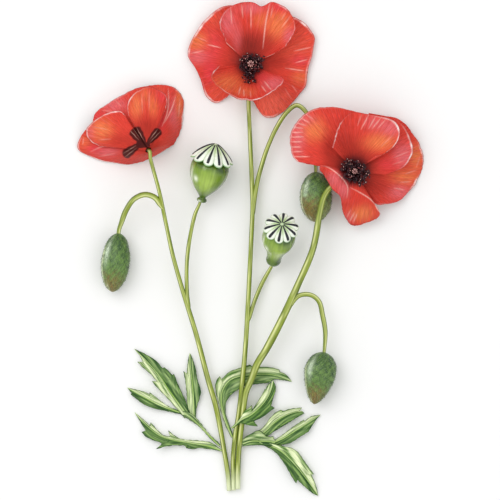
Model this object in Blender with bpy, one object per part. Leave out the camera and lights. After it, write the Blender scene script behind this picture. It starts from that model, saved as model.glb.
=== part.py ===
"""A spray of field poppies, cut at the foot and laid on a table.

Three stems run side by side from the foot (-Y) and part towards three flowers. Hooked stalks carry
three closed buds, straight ones carry two seed capsules, and five cut leaves spread from the foot.
Places and sizes are in millimetres, +X across the spray, +Y towards the top flower, +Z up from the
table, and the origin is on the table under the middle of the spray.
"""

import math

import bmesh
import bpy
import numpy as np
from mathutils import Vector

MM = 0.001  # one millimetre in metres
GAP = 0.3  # clearance between pieces that touch on the real spray

STEM_SIDES = 2  # bevel resolution of the stems: eight sides
STEM_STEP = 7.0  # spacing of the points along a stem
STEM_NECK = 10  # points at the flower's end of a stem that lie at half that spacing
STEM_SHARES = (0.0, 0.25, 1.0)  # places along a stem at which its three radii are given
STALK_STEP = 4.0  # spacing of the points along a stalk
STALK_END = 2.5  # straight run of a stalk before what it carries
STALK_SEAT = 0.5  # clearance at that end, whose face is not quite square to the piece

RECEPTACLE_RADIUS = 2.4  # the flared end of a stem that the petals stand on
RECEPTACLE_NECK = 0.8  # share of that radius at the last point below the face
RECEPTACLE_LEAD = (3.6, 1.4)  # distances below the face at which a stem is already on the axis
CLAW_RADIUS = 2.9  # distance from the flower's axis at which a petal begins
LAYER_STEP = 1.1  # how far a petal of the next layer out begins further down the axis
PETAL_THICKNESS = 0.5
PETAL_ROWS = 8  # grid from claw to rim
PETAL_COLUMNS = 12  # grid from side to side

LEAF_THICKNESS = 0.7

BUD_SIDES = 16
BUD_END = 0.9  # radius of a bud's two blunt ends
BUD_SHARES = (0.0, 0.03, 0.1, 0.22, 0.36, 0.5, 0.64, 0.78, 0.9, 0.97, 1.0)  # rings along a bud
BUD_ROUND = (0.5, 0.65)  # powers of the swell above and below its widest place: 0.5 is an ellipse

CAPSULE_SIDES = 18
PISTIL_SIDES = 16
PISTIL_RAYS = 8
RAY_RIPPLE = 0.05  # how far the scallops of a rayed disc stand in and out, as a share of its radius

CREASE_ANGLE = 50  # degrees between two faces above which their edge stays sharp
LINE_FINENESS = 40  # readings per given point when a smooth line is measured

# Stems: points of the centre line, then the radius at the foot and near the flower.
STEMS = {
    "left": {
        "line": [
            (-13.4, -143.3, 1.2),
            (-14.0, -134.7, 1.3),
            (-16.6, -117.9, 2.2),
            (-21.1, -94.5, 4.5),
            (-25.7, -77.7, 6.0),
            (-31.0, -51.3, 8.0),
            (-40.2, -22.5, 11.5),
            (-45.4, -3.3, 14.5),
            (-50.5, 15.9, 18.5),
            (-55.0, 35.1, 24.5),
            (-58.3, 47.5, 29.5),
            (-60.0, 54.0, 31.6),
        ],
        "radii": (1.15, 1.3, 1.1),
    },
    "middle": {
        "line": [
            (-10.5, -144.9, 1.4),
            (-10.6, -134.7, 1.5),
            (-10.6, -123.3, 2.0),
            (-9.4, -111.9, 2.7),
            (-7.6, -100.5, 3.6),
            (-6.2, -89.1, 4.6),
            (-5.0, -77.7, 5.5),
            (-3.4, -60.3, 6.5),
            (-1.7, -32.1, 7.0),
            (0.2, 6.3, 6.5),
            (1.0, 25.5, 6.0),
            (0.5, 42.5, 5.6),
            (-0.8, 73.1, 5.0),
            (-1.4, 88.5, 4.6),
            (-1.1, 101.0, 4.6),
            (-0.8, 106.8, 6.2),
        ],
        "radii": (1.3, 1.45, 1.25),
    },
    "right": {
        "line": [
            (-7.9, -140.7, 2.9),
            (-7.7, -129.3, 3.2),
            (-7.0, -117.9, 4.0),
            (-5.6, -106.2, 5.2),
            (-4.3, -94.5, 6.6),
            (-3.0, -86.1, 7.7),
            (0.4, -77.7, 8.6),
            (3.8, -68.7, 9.5),
            (9.0, -60.3, 10.3),
            (17.8, -43.5, 12.0),
            (27.4, -22.5, 14.2),
            (35.9, 0.5, 17.8),
            (40.7, 21.5, 21.6),
            (43.6, 31.1, 21.6),
            (46.8, 36.2, 20.4),
            (51.5, 39.8, 19.0),
            (56.5, 43.3, 19.0),
            (59.3, 45.2, 20.6),
        ],
        "radii": (1.4, 1.7, 1.3),
    },
}

# Stalks: the stem that each springs from, its centre line from that stem's axis up to the bud or
# capsule that it carries, and its radius.
STALKS = {
    "left_bud_stalk": {
        "stem": "left",
        "line": [
            (-52.8, 25.0, 21.3),
            (-57.8, 32.1, 22.5),
            (-63.6, 33.9, 21.5),
            (-70.2, 31.1, 18.5),
            (-75.0, 23.4, 14.0),
            (-77.9, 15.9, 10.6),
        ],
        "carries": "left_bud",
        "radius": 1.1,
    },
    "left_capsule_stalk": {
        "stem": "left",
        "line": [
            (-40.6, -21.0, 11.7),
            (-38.7, -11.1, 11.5),
            (-37.7, 0.5, 11.0),
            (-35.8, 11.9, 9.6),
            (-33.5, 21.5, 7.4),
            (-31.2, 26.6, 7.0),
        ],
        "carries": "left_capsule",
        "radius": 1.05,
    },
    "middle_bud_stalk": {
        "stem": "middle",
        "line": [
            (0.9, 23.0, 6.1),
            (3.4, 38.7, 6.3),
            (6.3, 50.1, 6.8),
            (10.1, 61.7, 7.6),
            (15.8, 74.1, 8.6),
            (21.6, 82.5, 9.6),
            (27.4, 86.6, 10.3),
            (32.1, 83.7, 10.4),
            (36.2, 75.5, 10.2),
            (38.0, 62.0, 9.9),
        ],
        "carries": "middle_bud",
        "radius": 1.2,
    },
    "middle_capsule_stalk": {
        "stem": "middle",
        "line": [
            (-2.0, -41.0, 6.9),
            (2.5, -30.1, 5.6),
            (6.8, -20.0, 3.6),
            (10.3, -13.6, 3.4),
            (12.2, -10.4, 5.2),
        ],
        "carries": "middle_capsule",
        "radius": 1.2,
    },
    "right_bud_stalk": {
        "stem": "right",
        "line": [
            (22.8, -33.0, 13.0),
            (29.2, -27.6, 13.6),
            (35.9, -27.3, 13.4),
            (40.7, -31.1, 12.8),
            (43.0, -39.7, 11.8),
            (44.6, -49.3, 10.6),
        ],
        "carries": "right_bud",
        "radius": 1.2,
    },
}

# Buds: where the stalk ends, the tip, the greatest radius, and the share of the length at which
# the bud is widest.
BUDS = {
    "left_bud": {"top": (-79.5, 9.8, 8.9), "tip": (-83.3, -25.5, 8.8), "radius": 8.6, "full": 0.5},
    "middle_bud": {"top": (38.9, 46.6, 9.8), "tip": (39.1, 16.4, 9.7), "radius": 9.7, "full": 0.52},
    "right_bud": {"top": (43.9, -61.7, 9.8), "tip": (37.9, -92.9, 9.4), "radius": 9.7, "full": 0.4},
}

# Capsules: foot of the capsule, bearing of its axis right of +Y, rise above the table, length of
# the body, greatest radius, and radius and height of the rayed cap.
CAPSULES = {
    "left_capsule": {
        "foot": (-29.9, 29.9, 8.0),
        "bearing": 13.4,
        "rise": 19.0,
        "length": 26.0,
        "radius": 11.2,
        "cap_radius": 12.3,
        "cap_height": 9.0,
    },
    "middle_capsule": {
        "foot": (13.1, -8.1, 8.4),
        "bearing": 13.0,
        "rise": 46.0,
        "length": 29.0,
        "radius": 10.0,
        "cap_radius": 10.0,
        "cap_height": 4.5,
    },
}
CAPSULE_RAYS = 10

# Flowers: seat is the middle of the receptacle's face and axis the way the flower looks. A petal's
# claw gives the bearings (degrees from +X) of its first and last side at the receptacle. Its rim
# runs from that first side to the last: across and up from the seat, then the height over the
# table. Its belly gives the two heights that bend it between claw and rim, at each side.
FLOWERS = {
    "top_flower": {
        "stem": "middle",
        "seat": (-0.5, 111.1, 12.0),
        "axis": (0.0, 0.45, 0.9),
        "stamen_spread": 1.0,
        "petals": {
            "upper": {
                "layer": 0,
                "claw": (140, 28),
                "belly": ((11.8, 10.0), (11.8, 10.0)),
                "rim": [
                    (-14.2, 12.8, 14.0),
                    (-18.5, 25.2, 15.5),
                    (-12.1, 34.6, 13.5),
                    (0.8, 37.5, 11.0),
                    (6.7, 35.1, 10.0),
                    (13.1, 37.5, 11.0),
                    (22.2, 33.2, 13.5),
                    (27.1, 22.5, 16.0),
                    (22.2, 11.8, 15.0),
                    (14.2, 6.4, 14.0),
                ],
            },
            "lower": {
                "layer": 0,
                "claw": (190, 338),
                "belly": ((11.5, 14.0), (11.5, 14.0)),
                "rim": [
                    (-19.0, -1.0, 20.0),
                    (-23.3, -7.0, 26.0),
                    (-22.3, -10.7, 29.0),
                    (-12.6, -18.7, 33.0),
                    (-5.6, -21.4, 34.0),
                    (2.4, -22.0, 34.0),
                    (14.2, -16.6, 32.0),
                    (20.1, -9.7, 28.0),
                    (17.9, -7.5, 24.0),
                ],
            },
            "left": {
                "layer": 1,
                "claw": (108, 228),
                "belly": ((8.2, 3.2), (8.2, 3.2)),
                "rim": [
                    (-8.0, 36.0, 5.0),
                    (-17.9, 34.3, 6.0),
                    (-27.6, 26.3, 5.0),
                    (-36.2, 12.8, 3.5),
                    (-37.3, 5.3, 3.0),
                    (-33.5, -1.0, 3.5),
                    (-30.3, -8.0, 4.5),
                    (-26.0, -19.3, 2.0),
                    (-20.6, -23.0, 0.8),
                    (-13.7, -19.3, 3.0),
                ],
            },
            "right": {
                "layer": 1,
                "claw": (52, -72),
                "belly": ((8.2, 3.2), (8.2, 3.2)),
                "rim": [
                    (24.0, 29.6, 6.0),
                    (31.9, 25.7, 5.0),
                    (38.3, 17.7, 4.0),
                    (38.3, 10.7, 3.5),
                    (34.6, -4.3, 3.0),
                    (33.5, -12.3, 2.5),
                    (29.2, -18.2, 2.0),
                    (19.0, -28.9, 1.0),
                    (13.7, -31.6, 0.7),
                    (8.3, -31.0, 1.2),
                    (1.9, -22.0, 4.0),
                ],
            },
        },
    },
    "right_flower": {
        "stem": "right",
        "seat": (61.6, 46.9, 26.0),
        "axis": (0.30, 0.33, 0.9),
        "stamen_spread": 1.0,
        "petals": {
            "left": {
                "layer": 1,
                "claw": (102, 168),
                "belly": ((24.0, 22.5), (25.5, 31.0)),
                "rim": [
                    (-8.2, 38.0, 20.0),
                    (-15.5, 38.5, 19.5),
                    (-24.1, 37.3, 19.0),
                    (-29.9, 33.8, 19.0),
                    (-35.6, 27.5, 19.5),
                    (-38.2, 21.2, 20.0),
                    (-37.9, 15.5, 20.5),
                    (-35.6, 7.4, 21.5),
                    (-31.0, 4.9, 23.0),
                    (-25.3, 4.6, 25.0),
                    (-20.2, 3.4, 27.0),
                ],
            },
            "upper": {
                "layer": 0,
                "claw": (128, 36),
                "belly": ((26.5, 28.5), (26.5, 27.5)),
                "rim": [
                    (-13.2, 14.3, 33.0),
                    (-10.9, 23.0, 35.0),
                    (-7.5, 29.8, 34.0),
                    (-1.7, 35.0, 31.0),
                    (9.2, 33.8, 28.0),
                    (18.9, 32.2, 26.0),
                    (24.7, 29.8, 25.0),
                    (27.2, 25.8, 25.0),
                    (26.9, 20.1, 26.0),
                    (23.5, 14.3, 27.0),
                    (17.8, 10.3, 28.0),
                    (13.2, 9.2, 28.0),
                ],
            },
            "middle": {
                "layer": 1,
                "claw": (52, -6),
                "belly": ((24.3, 21.5), (24.3, 21.5)),
                "rim": [
                    (26.0, 31.0, 18.0),
                    (31.6, 24.8, 16.5),
                    (35.6, 13.2, 15.5),
                    (34.4, 8.6, 16.0),
                    (30.4, 2.9, 17.5),
                    (24.7, 0.0, 19.5),
                    (19.4, -1.9, 21.5),
                ],
            },
            "outer": {
                "layer": 2,
                "claw": (84, -58),
                "belly": ((21.0, 14.0), (20.5, 15.0)),
                "rim": [
                    (9.2, 35.0, 14.0),
                    (26.4, 31.6, 9.0),
                    (31.6, 28.1, 7.0),
                    (36.1, 21.8, 4.5),
                    (40.1, 16.1, 2.2),
                    (41.9, 9.2, 0.8),
                    (41.3, 1.1, 0.6),
                    (38.5, -4.6, 1.2),
                    (35.0, -10.3, 2.5),
                    (28.7, -16.6, 5.0),
                    (21.8, -19.3, 7.5),
                    (14.3, -19.8, 10.0),
                    (10.3, -17.2, 12.5),
                    (4.6, -12.7, 16.0),
                ],
            },
            "folded": {
                "layer": 0,
                "claw": (188, 304),
                "belly": ((28.0, 34.0), (27.0, 31.0)),
                "rim": [
                    (-20.5, 0.8, 24.0),
                    (-18.4, -1.9, 23.5),
                    (-15.5, -6.3, 24.5),
                    (-12.1, -11.5, 26.0),
                    (-8.6, -14.9, 25.0),
                    (-7.5, -18.4, 21.0),
                    (-6.4, -24.7, 15.0),
                    (-4.0, -29.3, 11.0),
                    (-1.2, -32.2, 9.0),
                    (7.4, -31.0, 8.0),
                    (14.9, -27.5, 9.0),
                    (15.8, -25.3, 10.0),
                    (12.1, -19.5, 15.0),
                ],
            },
        },
    },
    "left_flower": {
        "stem": "left",
        "seat": (-61.6, 59.7, 26.0),
        "axis": (-0.32, 0.35, -0.88),
        "stamen_spread": 0.5,
        "petals": {
            "upper": {
                "layer": 1,
                "claw": (116, 66),
                "belly": ((27.5, 24.0), (27.5, 24.0)),
                "rim": [
                    (-9.2, 15.6, 21.0),
                    (-12.3, 23.1, 17.5),
                    (-12.0, 29.1, 14.5),
                    (-8.2, 34.1, 11.5),
                    (-0.7, 38.0, 9.5),
                    (5.3, 36.6, 10.5),
                    (10.3, 33.1, 12.5),
                    (11.2, 29.1, 14.5),
                    (9.2, 22.1, 18.5),
                    (5.8, 14.2, 22.0),
                ],
            },
            "left": {
                "layer": 1,
                "claw": (132, 184),
                "belly": ((27.5, 23.0), (27.0, 23.0)),
                "rim": [
                    (-11.2, 14.3, 21.5),
                    (-13.9, 20.3, 18.5),
                    (-17.1, 23.4, 16.0),
                    (-23.1, 22.6, 13.5),
                    (-28.6, 20.2, 11.5),
                    (-35.5, 15.2, 9.0),
                    (-37.5, 12.2, 8.5),
                    (-36.1, 7.2, 8.5),
                    (-32.0, 3.7, 10.5),
                    (-24.6, 2.2, 15.0),
                    (-17.1, 1.7, 19.0),
                ],
            },
            "right": {
                "layer": 0,
                "claw": (84, 6),
                "belly": ((21.5, 12.5), (22.0, 12.0)),
                "rim": [
                    (1.5, 39.0, 3.0),
                    (7.7, 39.3, 2.0),
                    (14.7, 38.0, 1.0),
                    (20.2, 32.1, 0.6),
                    (20.9, 23.1, 0.6),
                    (19.7, 14.2, 0.8),
                    (15.2, 4.2, 1.2),
                    (8.4, 0.8, 3.0),
                ],
            },
            "lower": {
                "layer": 0,
                "claw": (-14, -190),
                "belly": ((20.5, 9.0), (20.0, 8.0)),
                "rim": [
                    (7.0, -1.8, 2.5),
                    (2.8, -4.0, 1.0),
                    (-3.7, -6.6, 0.6),
                    (-12.2, -8.4, 0.5),
                    (-19.6, -7.6, 0.5),
                    (-27.1, -6.7, 0.7),
                    (-33.1, -4.7, 0.9),
                    (-38.5, -2.2, 1.1),
                    (-42.0, 0.2, 1.4),
                    (-42.8, 3.2, 1.8),
                    (-40.5, 8.7, 2.6),
                    (-38.0, 12.2, 3.4),
                ],
            },
            "far": {
                "layer": 0,
                "claw": (150, 98),
                "belly": ((23.0, 14.0), (23.5, 15.0)),
                "rim": [
                    (-33.6, 16.8, 3.0),
                    (-32.0, 22.1, 1.4),
                    (-24.6, 28.1, 0.7),
                    (-15.1, 33.6, 0.5),
                    (-5.0, 38.0, 1.5),
                ],
            },
        },
    },
}
STAMEN_COUNT = 20
STAMEN_LENGTHS = (7.2, 8.4, 7.8, 9.0)  # taken in turn round the ring
STAMEN_LIFTS = (52.0, 34.0, 60.0, 42.0)  # degrees above the ring's plane, taken in turn

# Leaves: outline of each, starting at one side of its foot and ending at the other, the height of
# the foot over the table, and the height of the far blade.
LEAVES = {
    "upper_left_leaf": {
        "outline": [
            (-18.2, -117.0),
            (-26.0, -108.6),
            (-31.2, -102.5),
            (-34.0, -98.4),
            (-33.4, -93.0),
            (-31.6, -89.0),
            (-29.9, -84.5),
            (-31.0, -80.4),
            (-32.3, -72.0),
            (-36.3, -63.3),
            (-39.4, -74.5),
            (-42.0, -73.8),
            (-40.0, -80.0),
            (-40.3, -91.5),
            (-43.2, -86.0),
            (-45.5, -78.0),
            (-49.5, -73.2),
            (-48.5, -76.6),
            (-53.2, -70.3),
            (-60.0, -63.5),
            (-70.8, -59.3),
            (-66.0, -66.5),
            (-69.2, -68.4),
            (-59.5, -75.0),
            (-58.5, -79.4),
            (-54.8, -80.6),
            (-47.5, -89.5),
            (-42.5, -97.0),
            (-50.0, -91.8),
            (-56.5, -88.0),
            (-59.0, -86.2),
            (-58.6, -88.8),
            (-66.5, -85.4),
            (-75.2, -83.6),
            (-70.5, -89.0),
            (-62.0, -94.3),
            (-52.5, -97.0),
            (-42.0, -101.0),
            (-36.2, -102.8),
            (-30.2, -106.6),
            (-24.0, -112.8),
            (-18.6, -118.6),
        ],
        "foot": 2.2,
        "blade": 0.9,
    },
    "lower_left_leaf": {
        "outline": [
            (-17.9, -120.4),
            (-23.4, -117.0),
            (-31.0, -114.6),
            (-39.5, -114.2),
            (-45.0, -110.6),
            (-48.2, -107.2),
            (-48.0, -111.3),
            (-52.5, -110.2),
            (-59.4, -104.8),
            (-59.8, -107.8),
            (-63.8, -103.8),
            (-70.2, -98.0),
            (-67.4, -104.2),
            (-63.4, -110.0),
            (-65.8, -110.4),
            (-62.0, -114.4),
            (-57.0, -117.2),
            (-54.4, -120.4),
            (-51.5, -121.2),
            (-49.0, -118.8),
            (-40.0, -118.8),
            (-36.4, -121.6),
            (-32.0, -120.6),
            (-26.0, -121.4),
            (-17.8, -121.8),
        ],
        "foot": 2.0,
        "blade": 0.9,
    },
    "arched_leaf": {
        "outline": [
            (-11.5, -113.6),
            (-16.0, -105.0),
            (-19.4, -95.0),
            (-22.6, -88.0),
            (-22.0, -80.5),
            (-19.4, -76.0),
            (-18.2, -78.4),
            (-13.4, -72.4),
            (-4.0, -69.0),
            (6.0, -68.8),
            (14.6, -71.0),
            (24.8, -79.3),
            (16.8, -79.0),
            (9.0, -79.6),
            (2.0, -80.8),
            (-6.0, -80.0),
            (-11.0, -84.6),
            (-14.8, -87.4),
            (-15.6, -93.0),
            (-14.4, -102.0),
            (-12.8, -108.0),
            (-11.3, -111.8),
        ],
        "foot": 2.2,
        "blade": 1.0,
    },
    "curled_leaf": {
        "outline": [
            (-3.5, -102.6),
            (0.2, -96.6),
            (1.6, -95.8),
            (1.8, -98.4),
            (6.2, -91.2),
            (8.6, -83.6),
            (9.6, -86.0),
            (12.0, -80.8),
            (15.6, -83.4),
            (14.8, -88.8),
            (13.0, -93.0),
            (15.0, -95.2),
            (9.4, -97.6),
            (5.4, -101.4),
            (7.6, -105.0),
            (2.4, -104.4),
            (-3.4, -104.2),
        ],
        "foot": 5.4,
        "blade": 2.2,
    },
    "right_leaf": {
        "outline": [
            (-4.9, -116.4),
            (0.0, -112.8),
            (5.8, -110.2),
            (9.0, -106.0),
            (15.0, -99.2),
            (21.2, -96.9),
            (30.8, -95.8),
            (28.6, -98.4),
            (31.8, -98.6),
            (25.0, -103.4),
            (17.4, -107.6),
            (11.4, -112.4),
            (14.6, -113.0),
            (19.6, -112.2),
            (25.4, -107.0),
            (31.0, -103.6),
            (34.6, -101.2),
            (41.2, -98.8),
            (36.4, -105.0),
            (33.6, -109.2),
            (23.8, -113.6),
            (19.8, -115.4),
            (26.0, -117.6),
            (31.4, -123.4),
            (37.8, -134.4),
            (36.2, -133.6),
            (40.2, -148.2),
            (34.0, -142.0),
            (29.0, -137.8),
            (27.8, -141.0),
            (24.0, -134.0),
            (18.4, -124.8),
            (12.0, -118.8),
            (6.0, -117.4),
            (0.0, -117.8),
            (-5.1, -118.4),
        ],
        "foot": 3.6,
        "blade": 0.9,
    },
}
LEAF_FALL = 16.0  # distance from its foot over which a leaf comes down to the table


def material(name, colour, roughness):
    """A plain Principled material, made once and shared by the pieces of its kind."""
    found = bpy.data.materials.get(name)
    if found:
        return found
    made = bpy.data.materials.new(name)
    made.use_nodes = True
    shader = made.node_tree.nodes["Principled BSDF"]
    shader.inputs["Base Color"].default_value = (*colour, 1.0)
    shader.inputs["Roughness"].default_value = roughness
    shader.inputs["Metallic"].default_value = 0.0
    made.diffuse_color = (*colour, 1.0)
    return made


def petal_red():
    return material("petal_red", (0.72, 0.05, 0.03), 0.55)


def stem_green():
    return material("stem_green", (0.35, 0.48, 0.10), 0.5)


def leaf_green():
    return material("leaf_green", (0.16, 0.34, 0.09), 0.55)


def bud_green():
    return material("bud_green", (0.13, 0.25, 0.08), 0.7)


def capsule_green():
    return material("capsule_green", (0.28, 0.50, 0.10), 0.45)


def disc_pale():
    return material("disc_pale", (0.70, 0.78, 0.60), 0.6)


def stamen_dark():
    return material("stamen_dark", (0.05, 0.02, 0.03), 0.6)


def add_object(name, data, finish):
    """Puts one sub-part into the scene with its material."""
    piece = bpy.data.objects.new(name, data)
    bpy.context.scene.collection.objects.link(piece)
    data.materials.append(finish)
    return piece


def unit(vector):
    """The vector at length one."""
    vector = np.asarray(vector, float)
    return vector / np.linalg.norm(vector)


def smooth_line(points, count=0, step=0.0):
    """A smooth curve through the points, read at count places or about every step, evenly spaced."""
    points = np.asarray(points, float)
    chords = np.linalg.norm(np.diff(points, axis=0), axis=1)
    knots = np.concatenate([[0.0], np.cumsum(np.sqrt(chords))])
    slopes = np.gradient(points, knots, axis=0)
    dense = np.linspace(0.0, knots[-1], LINE_FINENESS * len(points))
    k = np.clip(np.searchsorted(knots, dense, side="right") - 1, 0, len(knots) - 2)
    span = (knots[k + 1] - knots[k])[:, None]
    f = (dense - knots[k])[:, None] / span
    curve = (
        (2 * f**3 - 3 * f**2 + 1) * points[k]
        + (f**3 - 2 * f**2 + f) * span * slopes[k]
        + (3 * f**2 - 2 * f**3) * points[k + 1]
        + (f**3 - f**2) * span * slopes[k + 1]
    )
    along = np.concatenate([[0.0], np.cumsum(np.linalg.norm(np.diff(curve, axis=0), axis=1))])
    if step:
        count = max(2, int(round(along[-1] / step)) + 1)
    places = np.linspace(0.0, along[-1], count)
    return np.stack([np.interp(places, along, curve[:, i]) for i in range(3)], axis=1)


def tube(name, line, radii, finish):
    """A round stem: a polyline with its own radius at each point and closed ends."""
    curve = bpy.data.curves.new(name, "CURVE")
    curve.dimensions = "3D"
    curve.bevel_depth = MM
    curve.bevel_resolution = STEM_SIDES
    curve.use_fill_caps = True
    curve.resolution_u = 1
    curve.render_resolution_u = 0
    run = curve.splines.new("POLY")
    run.points.add(len(line) - 1)
    for point, place, radius in zip(run.points, line, radii):
        point.co = (*(float(v) * MM for v in place), 1.0)
        point.radius = float(radius)
    return add_object(name, curve, finish)


def stem_radius(stem, share):
    """Radius at a share of the stem's length: foot, a little thicker above it, slimmer on top."""
    return np.interp(share, STEM_SHARES, STEMS[stem]["radii"])


def make_stem(stem, flower):
    """A stem that swells at its end into the receptacle, square to the flower's axis."""
    seat = np.array(flower["seat"])
    axis = unit(flower["axis"])
    route = [*STEMS[stem]["line"], *(seat - axis * lead for lead in RECEPTACLE_LEAD)]
    line = smooth_line(route, step=STEM_STEP / 2)
    keep = [i for i in range(len(line)) if i % 2 == 0 or i > len(line) - STEM_NECK]
    line = line[keep]
    share = np.linspace(0.0, 1.0, len(line))
    radii = stem_radius(stem, share)
    radii[-1] = RECEPTACLE_NECK * RECEPTACLE_RADIUS
    line = np.vstack([line, seat])
    radii = np.append(radii, RECEPTACLE_RADIUS)
    return tube(stem + "_stem", line, radii, stem_green())


def carried_end(name):
    """Where a stalk meets the bud or capsule that it carries, and the way that piece runs on."""
    if name in BUDS:
        top, tip = np.array(BUDS[name]["top"]), np.array(BUDS[name]["tip"])
        return top, unit(tip - top)
    return np.array(CAPSULES[name]["foot"]), capsule_axis(CAPSULES[name])


def make_stalk(name, stalk):
    """A stalk that begins where it is clear of its stem and ends at what it carries."""
    end, axis = carried_end(stalk["carries"])
    line = smooth_line([*stalk["line"], end - axis * STALK_END, end - axis * STALK_SEAT], step=GAP)
    stem = smooth_line(STEMS[stalk["stem"]]["line"], step=1.0)
    share = np.linspace(0.0, 1.0, len(stem))
    reach = stem_radius(stalk["stem"], share) + stalk["radius"] + GAP
    apart = np.linalg.norm(line[:, None] - stem[None], axis=2) - reach
    start = int(np.argmax(apart.min(axis=1) > 0.0))
    line = smooth_line(line[start:], step=STALK_STEP)
    radii = np.full(len(line), stalk["radius"])
    return tube(name, line, radii, stem_green())


def claw_point(flower, bearing, layer):
    """Place on the receptacle's side at a bearing, lower down the axis for an outer layer."""
    axis = unit(flower["axis"])
    angle = math.radians(bearing)
    out = np.array((math.cos(angle), math.sin(angle), 0.0))
    out = unit(out - axis * out.dot(axis))
    return np.array(flower["seat"]) + out * CLAW_RADIUS - axis * layer * LAYER_STEP


def petal_grid(flower, petal):
    """Rows from claw to rim: straight in plan, with a height that follows a cubic curve."""
    across = np.linspace(0.0, 1.0, PETAL_COLUMNS + 1)
    bearings = np.interp(across, (0.0, 1.0), petal["claw"])
    claw = np.array([claw_point(flower, bearing, petal["layer"]) for bearing in bearings])
    rim = smooth_line(petal["rim"], count=PETAL_COLUMNS + 1)
    rim = rim + np.array((*flower["seat"][:2], 0.0))
    first, last = np.array(petal["belly"])
    belly = first[:, None] * (1.0 - across) + last[:, None] * across
    rows = []
    for t in np.linspace(0.0, 1.0, PETAL_ROWS + 1):
        row = claw * (1.0 - t) + rim * t
        row[:, 2] = (
            (1 - t) ** 3 * claw[:, 2]
            + 3 * (1 - t) ** 2 * t * belly[0]
            + 3 * (1 - t) * t**2 * belly[1]
            + t**3 * rim[:, 2]
        )
        rows.append(row)
    return rows


def make_petal(name, flower, petal):
    """One petal: a sheet from the receptacle to its rim, given its thickness by Solidify."""
    bm = bmesh.new()
    rows = [[bm.verts.new(place * MM) for place in row] for row in petal_grid(flower, petal)]
    for lower, upper in zip(rows, rows[1:]):
        for i in range(PETAL_COLUMNS):
            bm.faces.new((lower[i], lower[i + 1], upper[i + 1], upper[i]))
    mesh = bpy.data.meshes.new(name)
    bm.to_mesh(mesh)
    bm.free()
    mesh.shade_smooth()
    piece = add_object(name, mesh, petal_red())
    wall = piece.modifiers.new("thickness", "SOLIDIFY")
    wall.thickness = PETAL_THICKNESS * MM
    wall.offset = 0.0
    return piece


def place_along(piece, foot, axis):
    """Puts a piece's own origin at a foot and turns its +Z along an axis."""
    piece.location = Vector(tuple(v * MM for v in foot))
    piece.rotation_mode = "QUATERNION"
    piece.rotation_quaternion = Vector(tuple(axis)).to_track_quat("Z", "Y")
    return piece


def turned(name, profile, sides, finish, ripple=0.0, rays=0):
    """A body turned round +Z from (radius, height) pairs, with closed ends and optional ripples."""
    bm = bmesh.new()
    rings = []
    for radius, height in profile:
        ring = []
        for i in range(sides):
            angle = 2 * math.pi * i / sides
            reach = radius * (1.0 + ripple * math.cos(rays * angle)) * MM
            ring.append(bm.verts.new((reach * math.cos(angle), reach * math.sin(angle), height * MM)))
        rings.append(ring)
    for lower, upper in zip(rings, rings[1:]):
        for i in range(sides):
            j = (i + 1) % sides
            bm.faces.new((lower[i], lower[j], upper[j], upper[i]))
    bm.faces.new(list(reversed(rings[0])))
    bm.faces.new(rings[-1])
    mesh = bpy.data.meshes.new(name)
    bm.to_mesh(mesh)
    bm.free()
    mesh.shade_smooth()
    mesh.set_sharp_from_angle(angle=math.radians(CREASE_ANGLE))
    return add_object(name, mesh, finish)


def make_pistil(name, flower):
    """The ovary on the receptacle, under its flat rayed disc."""
    profile = [
        (1.0, GAP),
        (1.2, 1.6),
        (1.9, 3.0),
        (2.1, 4.6),
        (1.7, 6.0),
        (2.7, 6.4),
        (2.6, 6.9),
        (0.5, 7.6),
    ]
    piece = turned(name, profile, PISTIL_SIDES, capsule_green(), RAY_RIPPLE, PISTIL_RAYS)
    return place_along(piece, flower["seat"], flower["axis"])


def make_stamens(name, flower):
    """A collar round the pistil whose top faces are drawn out into filaments with their anthers."""
    inner, outer, low, high = 1.6, 2.4, GAP, 1.0
    bm = bmesh.new()
    rings = []
    for radius, height in ((inner, low), (outer, low), (outer, high), (inner, high)):
        ring = []
        for i in range(STAMEN_COUNT):
            angle = 2 * math.pi * i / STAMEN_COUNT
            ring.append(bm.verts.new((radius * math.cos(angle), radius * math.sin(angle), height)))
        rings.append(ring)
    tops = []
    for here, there in zip(rings, rings[1:] + rings[:1]):
        for i in range(STAMEN_COUNT):
            j = (i + 1) % STAMEN_COUNT
            face = bm.faces.new((here[i], there[i], there[j], here[j]))
            if here is rings[2]:  # from the outer to the inner edge of the collar's top
                tops.append(face)
    for i, face in enumerate(tops):
        grow_stamen(bm, face, i, flower["stamen_spread"])
    bmesh.ops.recalc_face_normals(bm, faces=bm.faces)
    bmesh.ops.scale(bm, vec=(MM, MM, MM), verts=bm.verts)
    mesh = bpy.data.meshes.new(name)
    bm.to_mesh(mesh)
    bm.free()
    mesh.shade_smooth()
    mesh.set_sharp_from_angle(angle=math.radians(CREASE_ANGLE))
    piece = add_object(name, mesh, stamen_dark())
    return place_along(piece, flower["seat"], flower["axis"])


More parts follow.
